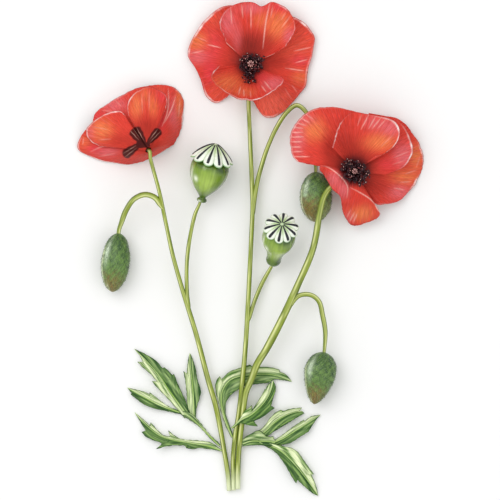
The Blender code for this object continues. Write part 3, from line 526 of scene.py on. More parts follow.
CAPSULES = {
    "left_capsule": {
        "foot": (-29.8, 28.9, 8.0), "bearing": 14.2, "rise": 19.0, "length": 26.9, "radius": 11.6,
        "profile": [
            (0.10, 0.0), (0.235, 0.006), (0.262, 0.035), (0.235, 0.068), (0.17, 0.088), (0.20, 0.125),
            (0.34, 0.20), (0.58, 0.32), (0.79, 0.46), (0.93, 0.60), (0.99, 0.74), (0.98, 0.86),
            (0.90, 0.95), (0.70, 1.0), (0.40, 1.01),
        ],
    },
    "middle_capsule": {
        "foot": (13.1, -8.1, 8.4), "bearing": 13.0, "rise": 46.0, "length": 30.4, "radius": 10.0,
        "profile": [
            (0.16, 0.0), (0.33, 0.01), (0.42, 0.05), (0.46, 0.10), (0.45, 0.15), (0.46, 0.20),
            (0.50, 0.28), (0.59, 0.37), (0.73, 0.47), (0.89, 0.57), (0.98, 0.68), (0.98, 0.79),
            (0.90, 0.90), (0.70, 0.985), (0.40, 1.0),
        ],
    },
}
CAPSULE_ROWS = 90
CAPSULE_SIDES = 80
RAYS = 10

CAPSULE_MID = colour(118, 150, 34)
CAPSULE_HIGHLIGHT_AND_RIB = colour(174, 202, 84)
CAPSULE_SHADE = colour(50, 80, 20)
CAPSULE_WHITE_HIGHLIGHT = colour(240, 248, 224)
capsule_finish = painted("capsule_wax", 0.26, (0.9, 0.12), 0.16, 0.05, specular=0.6, coat=0.35)


def lean(bearing, rise):
    """Direction at a bearing right of +Y and a rise over the table, in degrees."""
    bearing, rise = math.radians(bearing), math.radians(rise)
    return np.array((math.cos(rise) * math.sin(bearing), math.cos(rise) * math.cos(bearing), math.sin(rise)))


def turned_rings(foot, axis, radii, heights, angle):
    """Rings of a turned body: foot + height · axis + radius (cos a · side + sin a · over)."""
    side, over, axis = basis(axis)
    turned = np.cos(angle)[..., None] * side + np.sin(angle)[..., None] * over
    return np.asarray(foot) + np.asarray(heights)[..., None] * axis + np.asarray(radii)[..., None] * turned


for number, (name, capsule) in enumerate(CAPSULES.items()):
    axis = lean(capsule["bearing"], capsule["rise"])
    outline = [(r * capsule["radius"], h * capsule["length"]) for r, h in capsule["profile"]]
    profile = smooth_line(outline, CAPSULE_ROWS)
    angle = np.linspace(0.0, 2 * math.pi, CAPSULE_SIDES, endpoint=False)
    share, angle = np.meshgrid(profile[:, 1] / capsule["length"], angle, indexing="ij")
    radii = profile[:, :1] * (1.0 + 0.010 * np.cos(RAYS * angle) * ramp(share, 0.2, 0.5))
    points = turned_rings(capsule["foot"], axis, radii, profile[:, 1:] + 0.0 * angle, angle)
    drift = waves(4.0 * np.cos(angle), 7.0 * share, 100 + number, count=10)
    # Painted highlight: lighter along the top of the capsule.
    tint = mix(CAPSULE_MID, CAPSULE_HIGHLIGHT_AND_RIB, 0.8 * hump(angle, math.radians(95), 0.6) * hump(share, 0.55, 0.28))
    # Painted shade under the cap and down the right side, darker towards the foot, all with uneven tone.
    low = 1.0 - ramp(share + 0.03 * drift, 0.10, 0.42)
    under = ramp(share + 0.02 * drift, 0.80, 0.95)
    right = hump(angle, math.radians(150), 0.5) + hump(angle, math.radians(215), 0.6)
    gloom = 0.72 * low + 0.65 * under + 0.65 * right + 0.22 * drift
    tint = mix(tint, CAPSULE_SHADE, np.clip(gloom, 0.0, 0.97))
    ribs = ramp(np.cos(RAYS * angle), 0.8, 1.0) * ramp(share, 0.15, 0.5)
    tint = mix(tint, CAPSULE_HIGHLIGHT_AND_RIB, 0.22 * ribs)
    # Painted highlights: a white spot on the upper left, a pale band down the left side and a glint on the
    # foot ring.
    tint = mix(tint, CAPSULE_WHITE_HIGHLIGHT, 0.95 * hump(angle, math.radians(52), 0.15) * hump(share, 0.60, 0.07))
    line = hump(angle, math.radians(30), 0.10) * hump(share, 0.62, 0.20)
    line = line + hump(angle, math.radians(60), 0.4) * hump(share, 0.03, 0.025)
    tint = mix(tint, CAPSULE_WHITE_HIGHLIGHT, np.clip(0.85 * line, 0.0, 0.9))
    part = grid_part(points, tint, (2 * math.pi * capsule["radius"], capsule["length"]), wrap=True)
    piece = add_mesh(name + "_wall", [part], capsule_finish)
    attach(piece, "root")
    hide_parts(name)

# ------------------------------------------------------------------------------------------
# Caps
# The stigmatic cap on each capsule: a pale, waxy tent with a scalloped skirt. A near-black ridge,
# the dried stigma, runs from the peak down the middle of each lobe.

CAPS = {
    "left_capsule": {
        "radius": 12.8, "height": 9.8, "bend": 1.5, "turn": 9.0, "rise": 19.0, "skirt": 0.5, "rows": 56,
    },
    "middle_capsule": {
        "radius": 10.6, "height": 4.2, "bend": 1.6, "turn": 20.0, "rise": 60.0, "skirt": 0.8, "rows": 44,
    },
}
CAP_SIDES = 24 * RAYS
CAP_SCALLOP = 0.22  # how far the notches between lobes cut in, as a share of the radius
CAP_PLEAT = 0.55  # how far the skin dips between two ridges
CAP_AIR = 0.2
RIDGE_ROWS = 22
RIDGE_HALF = (0.30, 0.98)  # half width of a ridge at the peak and at the rim
RIDGE_RISE = 0.35
RIDGE_SPAN = (0.10, 0.93)  # from where to where a ridge runs, as shares of the way to the rim
RIDGE_SIDES = 10

CAP_WHITE = colour(240, 246, 232)
CAP_GREEN = colour(150, 190, 84)
CAP_EDGE = colour(120, 168, 96)
RIDGE_BLACK = colour(44, 46, 52)
cap_finish = painted("cap_wax", 0.45, (0.8, 0.5), 0.08, 0.06, specular=0.4)
ridge_finish = painted("ridge_dried", 0.7, (3.0, 1.0), 0.35, 0.08, specular=0.3)


def cap_place(cap, reach, angle):
    """Radius and height on the cap's skin at a share of the way down and an angle round it.

    The rim is scalloped: a lobe is the root of the cosine's size, which is blunt at the ridge and
    sharp at the notch. Height falls as 1 - reach to the power bend, less so at the notches, which
    stand a little higher, and dips between the ridges."""
    lobe = np.abs(np.cos(RAYS * angle / 2.0)) ** 0.55
    notch = CAP_SCALLOP * (1.0 - lobe) * ramp(reach, 0.45, 1.0)
    uneven = 1.0 + 0.035 * np.sin(2.0 * angle + 0.7) + 0.03 * np.sin(5.0 * angle)
    radius = cap["radius"] * reach * (1.0 - notch) * uneven
    dip = CAP_PLEAT * (1.0 - lobe) * np.sin(math.pi * np.clip(reach, 0.0, 1.0)) ** 0.7
    fall = (reach * (1.0 - 0.6 * notch)) ** cap["bend"]
    height = cap["height"] * (1.0 - fall) - dip - cap["skirt"] * ramp(reach, 0.8, 1.0)
    return radius, height


for name, cap in CAPS.items():
    # A cap sits on top of its capsule, with a little air under its skirt, and tilts by itself.
    capsule = CAPSULES[name]
    axis = lean(capsule["bearing"], capsule["rise"])
    foot = np.array(capsule["foot"]) + axis * (capsule["length"] + cap["skirt"] + CAP_AIR)
    axis = lean(capsule["bearing"], cap["rise"])
    phase = math.radians(cap["turn"])
    angle = np.linspace(0.0, 2 * math.pi, CAP_SIDES, endpoint=False)
    reach, angle = np.meshgrid(np.linspace(0.02, 1.0, cap["rows"]), angle, indexing="ij")
    radius, height = cap_place(cap, reach, angle)
    # Under the rim the wall turns in and runs back to the capsule's shoulder.
    under = ((1.0, -0.45), (0.96, -0.55), (0.80, -0.30), (0.5, 0.0))
    radius = np.concatenate([radius, *(radius[-1:] * share for share, _ in under)])
    height = np.concatenate([height, *(height[-1:] + drop for _, drop in under)])
    # From the peak outwards the rings would face in, so they are carried from the wall to the peak.
    rings = turned_rings(foot, axis, radius, height, angle[:1] + phase + 0.0 * radius)[::-1]
    lobe = np.abs(np.cos(RAYS * angle / 2.0)) ** 0.55
    tint = mix(CAP_WHITE, CAP_GREEN, (0.85 - lobe * 0.45) * (1.0 - ramp(reach, 0.30, 0.80)))
    tint = mix(tint, CAP_GREEN * 0.8, 0.5 * hump(lobe, 0.0, 0.35) * ramp(reach, 0.1, 0.4))
    tint = mix(tint, CAP_EDGE, 0.75 * ramp(reach, 0.965, 0.995))
    below = np.broadcast_to(CAP_EDGE, (len(under), CAP_SIDES, 3))
    tint = np.concatenate([tint, below])[::-1]
    part = grid_part(rings, tint, (2 * math.pi * cap["radius"], 2 * cap["radius"]), wrap=True)
    piece = add_mesh(name + "_cap", [part], cap_finish)
    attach(piece, "root")
    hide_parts(name + "_disc")

    # Ridges: low half-round bars laid down the middle of the lobes, wider towards the rim.
    run = np.linspace(*RIDGE_SPAN, RIDGE_ROWS)
    side, over, axis = basis(axis)
    bars = []
    for ray in range(RAYS):
        at = 2 * math.pi * ray / RAYS
        radius, height = cap_place(cap, run, np.full(RIDGE_ROWS, at))
        line = turned_rings(foot, axis, radius, height, np.full(RIDGE_ROWS, at + phase))
        ahead = unit(np.gradient(line, axis=0))
        away = np.cross(axis, math.cos(at + phase) * side + math.sin(at + phase) * over)
        up = unit(np.cross(ahead, away))
        up = up * np.sign((up @ axis)[:, None])
        half = np.interp(run, (run[0], run[-1]), RIDGE_HALF)
        half = half * np.sqrt(np.clip(1.0 - ((run - 0.5) / 0.47) ** 8, 0.02, 1.0))
        turn = np.linspace(0.0, 2 * math.pi, RIDGE_SIDES, endpoint=False)
        turn = turn if float(np.cross(ahead[3], away) @ up[3]) > 0 else -turn
        width = np.cos(turn)[None, :, None] * half[:, None, None] * away
        rise = np.sin(turn)[None, :, None] * np.minimum(half, RIDGE_RISE)[:, None, None] * up[:, None]
        bars.append(line[:, None] + width + rise)
    part = grid_part(np.array(bars), RIDGE_BLACK, (2.0, cap["radius"]), wrap=True)
    piece = add_mesh(name + "_ridges", [part], ridge_finish)
    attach(piece, "root")

# ------------------------------------------------------------------------------------------
# Leaves
# Deeply cut leaves near the foot of the stems. Each is a thin green blade, folded along a raised
# midrib and drawn out in pointed teeth; one half is painted as lit, with a painted highlight along
# its middle, and the other half is painted shade.

LEAF_PALE_HIGHLIGHT = colour(234, 244, 196)
LEAF_LIGHT = colour(158, 194, 92)
LEAF_MID = colour(90, 136, 50)
LEAF_SHADE = colour(36, 78, 28)
LEAF_OUTLINE = colour(40, 70, 36)
LEAF_FALL = 16.0  # distance from its foot over which a leaf comes down to the table
LEAF_THICKNESS = 0.35
LEAF_ARCH = 1.6  # how high a blade arches over its middle
LEAF_VALLEY = 0.22  # how steeply its halves rise from the midrib
LEAF_PUCKER = 0.30  # how far the skin swells and sinks between the side veins
BLADE_ROW = 0.4
BLADE_HALF = 9  # columns between the midrib and one edge
BLADE_SWEEP = 3.0  # how far the midrib's end of a row lies behind its end at the edge
VEIN_RADIUS = (0.42, 0.10)

# Each leaf has its foot height and its blade height over the table, and its blades. Held is the
# length over which a leaf that lies on a stem stays at its foot height. A blade has a midrib, a
# left and a right edge, all from its foot to its tip, and how far its two halves are painted as
# lit (pale) rather than shaded.
# An edge is in runs: it is smooth within a run and has a corner, a tooth or a notch, between two.
LEAVES = {
    "upper_left_leaf": {
        "foot": 2.2, "blade": 0.9,
        "blades": [
            {
                "midrib": [
                    (-18.8, -118.2), (-25.2, -112.2), (-32.4, -104.6), (-38.0, -100.2), (-46.0, -96.6),
                ],
                "left": [
                    [(-18.9, -118.8), (-24.6, -113.6), (-31.0, -106.8), (-37.0, -102.4), (-46.0, -96.9)],
                ],
                "right": [
                    [(-18.4, -117.4), (-25.4, -110.6), (-31.8, -102.8), (-36.0, -98.6), (-46.0, -96.3)],
                ],
                "pale": (0.25, 0.5),
            },
            {
                "midrib": [(-34.4, -101.8), (-34.5, -91.8), (-35.3, -81.1), (-36.4, -70.4), (-36.8, -62.4)],
                "left": [
                    [
                        (-36.0, -101.0), (-38.4, -92.9), (-38.6, -87.5), (-39.1, -82.2), (-39.9, -76.8),
                        (-40.7, -73.1),
                    ],
                    [(-38.6, -74.7)], [(-38.0, -67.7), (-36.8, -62.4)],
                ],
                "right": [
                    [(-33.2, -101.6), (-32.6, -94.6), (-31.0, -89.7), (-30.1, -85.4), (-30.8, -82.2)],
                    [(-32.1, -79.0), (-33.2, -72.5), (-34.9, -66.6), (-36.8, -62.4)],
                ],
                "pale": (0.95, 0.2),
            },
            {
                "midrib": [
                    (-38.0, -100.6), (-42.3, -94.5), (-48.2, -86.4), (-54.6, -76.8), (-62.4, -67.6),
                    (-70.2, -59.8),
                ],
                "left": [
                    [(-39.8, -101.6), (-47.1, -92.9), (-52.5, -87.0), (-56.7, -82.7), (-59.7, -79.1)],
                    [(-56.4, -79.4)], [(-60.5, -74.7), (-65.3, -70.6), (-68.3, -67.4)], [(-64.8, -68.0)],
                    [(-66.8, -64.2), (-70.2, -59.8)],
                ],
                "right": [
                    [(-36.6, -99.6), (-39.1, -91.8), (-41.7, -85.9), (-43.4, -82.2), (-46.3, -74.7)],
                    [(-47.4, -75.6)], [(-49.8, -72.8), (-52.1, -70.8)], [(-53.3, -71.4)],
                    [(-56.7, -67.4), (-63.2, -63.2), (-70.2, -59.8)],
                ],
                "pale": (0.95, 0.15),
            },
            {
                "midrib": [(-43.0, -98.0), (-52.5, -94.7), (-58.9, -91.8), (-66.9, -87.5), (-74.4, -83.2)],
                "left": [
                    [
                        (-43.0, -98.9), (-53.0, -96.8), (-57.8, -95.8), (-63.2, -93.7), (-68.5, -90.2),
                        (-72.4, -87.2),
                    ],
                    [(-71.9, -86.4)], [(-74.4, -83.2)],
                ],
                "right": [
                    [(-43.0, -97.2), (-49.8, -94.3), (-52.5, -92.6), (-56.7, -89.1), (-61.0, -85.9)],
                    [(-60.5, -87.5)], [(-64.2, -85.6), (-69.0, -84.4), (-74.4, -83.2)],
                ],
                "pale": (0.1, 0.95),
            },
        ],
    },
    "lower_left_leaf": {
        "foot": 2.0, "blade": 0.9,
        "blades": [
            {
                "midrib": [
                    (-17.6, -121.0), (-25.7, -118.4), (-36.4, -116.4), (-46.0, -114.8), (-54.6, -112.0),
                    (-61.0, -107.6), (-66.4, -102.5), (-70.0, -98.0),
                ],
                "left": [
                    [(-17.6, -121.4), (-24.0, -120.2), (-31.0, -119.4), (-35.3, -120.0), (-38.9, -119.6)],
                    [(-39.6, -118.2), (-47.0, -117.8)], [(-51.0, -118.4), (-57.0, -119.8)],
                    [(-53.8, -116.6), (-59.0, -114.6), (-63.4, -112.4), (-65.8, -109.7)],
                    [(-62.8, -109.6)], [(-65.0, -106.4), (-67.4, -102.4), (-70.0, -98.0)],
                ],
                "right": [
                    [
                        (-17.6, -120.4), (-20.3, -118.8), (-24.6, -116.0), (-31.0, -115.1), (-37.5, -114.6),
                        (-43.9, -113.4), (-49.9, -109.0),
                    ],
                    [(-48.6, -112.4)], [(-52.6, -111.8), (-56.7, -108.4), (-60.4, -103.9)],
                    [(-60.6, -106.2)], [(-64.4, -102.6), (-70.0, -98.0)],
                ],
                "pale": (0.1, 0.9),
            },
        ],
    },
    "arched_leaf": {
        "foot": 2.2, "blade": 1.0,
        "blades": [
            {
                "midrib": [
                    (-11.3, -112.7), (-14.4, -105.2), (-16.8, -97.2), (-17.9, -89.7), (-16.4, -83.2),
                    (-12.3, -78.4), (-6.4, -76.2), (2.8, -75.2), (10.1, -75.1), (17.5, -76.6),
                    (24.6, -79.5),
                ],
                "left": [
                    [
                        (-11.9, -113.4), (-15.6, -104.7), (-18.7, -94.8), (-21.0, -84.9), (-21.0, -79.5),
                        (-18.7, -76.0),
                    ],
                    [(-18.2, -78.6)], [(-13.3, -73.8), (-7.6, -71.5), (-4.2, -70.6), (-0.6, -69.2)],
                    [(1.4, -70.6), (7.3, -70.6), (12.7, -71.1), (17.3, -72.5)], [(16.9, -73.4)],
                    [(21.1, -75.3), (24.6, -79.5)],
                ],
                "right": [
                    [
                        (-10.7, -112.0), (-13.3, -104.7), (-15.2, -98.6), (-14.9, -91.9), (-12.6, -88.3),
                        (-8.0, -84.3), (-4.9, -82.6), (-0.3, -81.2), (2.7, -81.0), (10.4, -80.2),
                    ],
                    [(14.2, -78.2), (18.4, -78.4), (24.6, -79.5)],
                ],
                "pale": (0.85, 0.2),
            },
        ],
    },
    "curled_leaf": {
        "foot": 8.0, "held": 9.0, "blade": 2.2,
        "blades": [
            {
                "midrib": [
                    (-11.6, -107.4), (-6.2, -102.6), (0.5, -99.0), (6.3, -93.9), (10.4, -88.3),
                    (12.6, -83.0), (13.4, -78.8),
                ],
                "left": [
                    [(-11.9, -107.1), (-6.4, -101.4), (-4.4, -97.6), (-0.3, -94.2), (0.5, -93.4)],
                    [(0.4, -96.7)],
                    [(4.3, -91.2), (6.6, -87.2), (8.5, -83.6)], [(8.6, -84.6)],
                    [(10.4, -81.2), (13.4, -78.8)],
                ],
                "right": [
                    [(-11.2, -107.8), (-5.4, -103.9), (-3.4, -105.1), (0.4, -105.9), (4.3, -106.3)],
                    [(1.6, -103.2)], [(7.3, -100.5), (11.4, -97.4), (14.2, -95.2)], [(12.0, -94.0)],
                    [(13.4, -89.4), (15.0, -83.0), (13.4, -78.8)],
                ],
                "pale": (1.0, 0.05),
            },
        ],
    },
    "right_leaf": {
        "foot": 3.6, "blade": 0.9,
        "blades": [
            {
                "midrib": [(-5.2, -117.0), (-0.3, -115.4), (6.0, -115.4), (12.0, -115.8), (18.4, -118.0)],
                "left": [
                    [(-5.2, -114.2), (-0.3, -110.9), (5.0, -108.9), (9.2, -112.4)],
                    [(12.0, -112.8), (13.4, -112.3)], [(14.2, -114.3), (18.4, -117.4)],
                ],
                "right": [[(-5.2, -118.4), (-0.3, -117.8), (7.3, -117.8), (12.0, -118.4), (18.4, -118.6)]],
                "pale": (0.5, 0.1),
            },
            {
                "midrib": [
                    (2.8, -113.4), (8.3, -109.6), (13.8, -104.3), (18.7, -101.0), (24.8, -98.4),
                    (31.0, -97.4),
                ],
                "left": [
                    [(2.2, -110.2), (7.3, -107.0), (11.9, -100.9), (15.6, -97.6), (18.4, -96.4)],
                    [(19.0, -97.2)],
                    [(24.2, -95.9), (30.8, -95.2)], [(29.0, -97.0)], [(31.0, -97.4)],
                ],
                "right": [
                    [
                        (4.6, -115.0), (9.2, -112.8), (14.2, -109.3), (20.3, -105.7), (27.2, -101.3),
                        (32.2, -98.5),
                    ],
                    [(31.0, -97.4)],
                ],
                "pale": (0.95, 0.1),
            },
            {
                "midrib": [
                    (13.0, -116.4), (19.4, -113.6), (27.3, -108.6), (33.4, -104.8), (37.7, -102.2),
                    (41.9, -99.4),
                ],
                "left": [
                    [(13.0, -115.2), (18.8, -111.6), (24.9, -107.0), (31.8, -102.4)], [(32.4, -103.2)],
                    [(36.0, -100.6), (41.9, -99.4)],
                ],
                "right": [
                    [(14.0, -117.6), (22.6, -116.8), (29.5, -112.8), (34.6, -109.6)], [(36.0, -107.4)],
                    [(37.6, -104.8), (39.1, -102.5), (41.9, -99.4)],
                ],
                "pale": (0.8, 0.1),
            },
            {
                "midrib": [
                    (5.0, -116.2), (12.0, -118.2), (18.0, -121.3), (23.5, -126.2), (28.5, -131.8),
                    (33.5, -138.3), (37.5, -144.0), (40.4, -148.2),
                ],
                "left": [
                    [
                        (5.6, -115.2), (13.0, -116.8), (19.6, -118.5), (24.2, -119.3), (28.0, -121.6),
                        (31.8, -126.9), (35.6, -132.3), (38.1, -135.4),
                    ],
                    [(35.8, -134.4)], [(37.9, -138.8), (39.5, -143.4), (40.4, -148.2)],
                ],
                "right": [
                    [
                        (4.6, -117.2), (7.3, -117.8), (14.2, -121.6), (18.8, -126.9), (22.6, -133.1),
                        (25.7, -138.4), (27.2, -140.7),
                    ],
                    [(28.0, -138.6)], [(33.3, -143.6), (37.6, -147.0), (40.4, -148.2)],
                ],
                "pale": (1.0, 0.1),
            },
        ],
    },
}


def jagged(runs, count):
    """One line through the runs, read at count evenly spaced places, sharp only between runs."""
    pieces = []
    for k, run in enumerate(runs):
        points = run if k == 0 else [runs[k - 1][-1], *run]
        pieces.append(smooth_line(points, step=0.15) if len(points) > 2 else np.linspace(*points, 20))
    line = np.concatenate(pieces)
    along = np.concatenate([[0.0], np.cumsum(np.linalg.norm(np.diff(line, axis=0), axis=1))])
    places = np.linspace(0.0, along[-1], count)
    return np.stack([np.interp(places, along, line[:, k]) for k in (0, 1)], axis=1)


leaf_finish = painted("leaf_skin", 0.5, (3.2, 0.16), 0.38, 0.12, specular=0.2)
vein_finish = painted("leaf_vein", 0.5, (1.0, 0.2), 0.12, 0.0, specular=0.25)
seed = 500
for name, leaf in LEAVES.items():
    blades, veins = [], []
    foot = np.array(leaf["blades"][0]["midrib"][0])
    for order, blade in enumerate(leaf["blades"]):
        seed += 1
        middle = smooth_line(blade["midrib"], step=BLADE_ROW)
        rows = len(middle)
        length = line_length(middle)
        s = np.linspace(0.0, 1.0, rows)
        # A row reaches forward from the midrib, as side veins do: its inner end lags behind.
        lag = s - 4.0 * BLADE_SWEEP / length * 0.5 * s * (1.0 - s)
        centre = np.stack([np.interp(lag, s, middle[:, k]) for k in (0, 1)], axis=1)
        left, right = jagged(blade["left"], rows), jagged(blade["right"], rows)
        share = np.linspace(0.0, 1.0, BLADE_HALF + 1)[None, :, None]
        west = left[:, None] + (centre - left)[:, None] * share
        east = centre[:, None] + (right - centre)[:, None] * share[:, 1:]
        plan = np.concatenate([west, east], axis=1)
        place = np.linspace(-1.0, 1.0, plan.shape[1])[None, :] + 0.0 * s[:, None]
        half = np.where(
            place < 0.0,
            np.linalg.norm(left - centre, axis=1)[:, None],
            np.linalg.norm(right - centre, axis=1)[:, None],
        )
        out = np.abs(place) * half
        run = s[:, None] * length + 0.0 * place
        gone = np.linalg.norm(plan - foot, axis=-1)
        held = leaf.get("held", 0.0)
        height = leaf["blade"] + (leaf["foot"] - leaf["blade"]) * (1.0 - ramp(gone, held, held + LEAF_FALL))
        arch = LEAF_ARCH * np.sin(math.pi * s[:, None]) ** 2 * ramp(gone, 4.0, 20.0)
        pucker = LEAF_PUCKER * waves(out * 0.9, run * 0.35, seed) * ramp(out, 0.2, 2.0)
        height = height + arch + LEAF_VALLEY * out + pucker
        height = height + 0.12 * order + 0.10 * np.sin((run - 1.1 * out) * 2.1) * ramp(out, 0.3, 1.5)
        grid = np.concatenate([plan, height[..., None]], axis=-1)

        # Painted light and shade: the half with a high pale share is painted lit, with a painted highlight
        # band along its middle, and the other half is painted shade; the streaks are uneven tone.
        lit = np.where(place < 0.0, *blade["pale"])
        streak = waves(np.sign(place) * out * 3.2, run * 0.16, seed + 40, count=10)
        slow = waves(np.sign(place) * out * 1.1, run * 0.22, seed + 80)
        leaf_highlight_band = hump(out / np.maximum(half, 0.3), 0.52, 0.42)
        tint = mix(LEAF_MID, LEAF_SHADE, np.clip((1.0 - lit) * (0.62 - 0.5 * slow) - 0.55 * streak, 0.0, 1.0))
        tint = mix(tint, LEAF_LIGHT, np.clip(lit * (0.50 + 0.5 * slow) + 0.60 * streak - 0.12, 0.0, 1.0))
        tint = mix(tint, LEAF_PALE_HIGHLIGHT, np.clip(lit * leaf_highlight_band * (0.80 + 0.7 * slow + 0.7 * streak), 0.0, 0.97))
        # Painted shade: a dark line beside the raised midrib, stronger on the shaded half.
        tint = mix(tint, LEAF_SHADE, 0.55 * hump(out, 0.75, 0.35) * np.where(lit < 0.5, 1.0, 0.5))
        edge = hump((1.0 - np.abs(place)) * half, 0.0, 0.32) * ramp(half, 0.2, 0.9)
        tint = mix(tint, LEAF_OUTLINE, 0.85 * edge)
        blades.append(grid_part(grid, tint, (2.0 * float(half.max()), length)))

        rise = np.interp(s, lag, height[:, BLADE_HALF]) + 0.05
        line = np.column_stack([middle, rise])
        radii = np.interp(s, (0.0, 1.0), VEIN_RADIUS)
        rings, angle = rod(line, radii, 8)
        shade = mix(LEAF_LIGHT, LEAF_PALE_HIGHLIGHT, 0.25 + 0.25 * waves(0.0 * s, s * 9.0, seed + 120))
        veins.append(grid_part(rings, shade[:, None], (1.0, length), wrap=True))
    piece = add_mesh(name + "_blades", blades, leaf_finish)
    wall = piece.modifiers.new("thickness", "SOLIDIFY")
    wall.thickness = LEAF_THICKNESS * MM
    wall.offset = -1.0
    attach(piece, "root")
    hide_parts(name)
    piece = add_mesh(name + "_veins", veins, vein_finish)
    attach(piece, "root")

# ------------------------------------------------------------------------------------------
# Petals
# Each poppy petal is one thin, silky fan. It grows from a narrow claw on the receptacle, widens
# to a crinkled rim, and is creased along its length from being packed in the bud. It is scarlet
# with pink patches and deep maroon at the claw; its orange patches and the pale lines along its
# creases are painted highlights, and parts of its rims are painted white.

SCARLET = colour(214, 60, 46)
FLAT_RED = colour(226, 82, 60)
# Painted highlight: orange patches where the petals catch the light.
ORANGE_HIGHLIGHT = colour(230, 118, 68)
PINK = colour(222, 102, 106)
ROSE = colour(220, 58, 66)
DEEP = colour(170, 42, 30)
# Painted light: a brighter coral patch on a petal part that lies in shade.
CORAL_PAINTED_LIGHT = colour(250, 106, 84)
MAROON = colour(112, 24, 18)
# Painted highlight colour of the creases, also used for the pale sides of petals.
PALE = colour(250, 196, 184)
WHITE = colour(255, 240, 236)
HEM = colour(186, 84, 78)
BLOTCH = colour(68, 8, 6)
BLOTCH_VEIN = colour(214, 168, 150)
HEART = colour(62, 12, 18)

CLAW_RADIUS = 1.9
LAYER_STEP = 1.1  # how far a petal of the next layer out begins further down the axis
PETAL_COLUMN = 0.55  # spacing of the grid along the rim
PETAL_ROW = 0.5
PETAL_THICKNESS = 0.22
PETAL_FLOOR = 0.25  # lowest height of a petal over the table
CREASE_WIDTH = 0.33
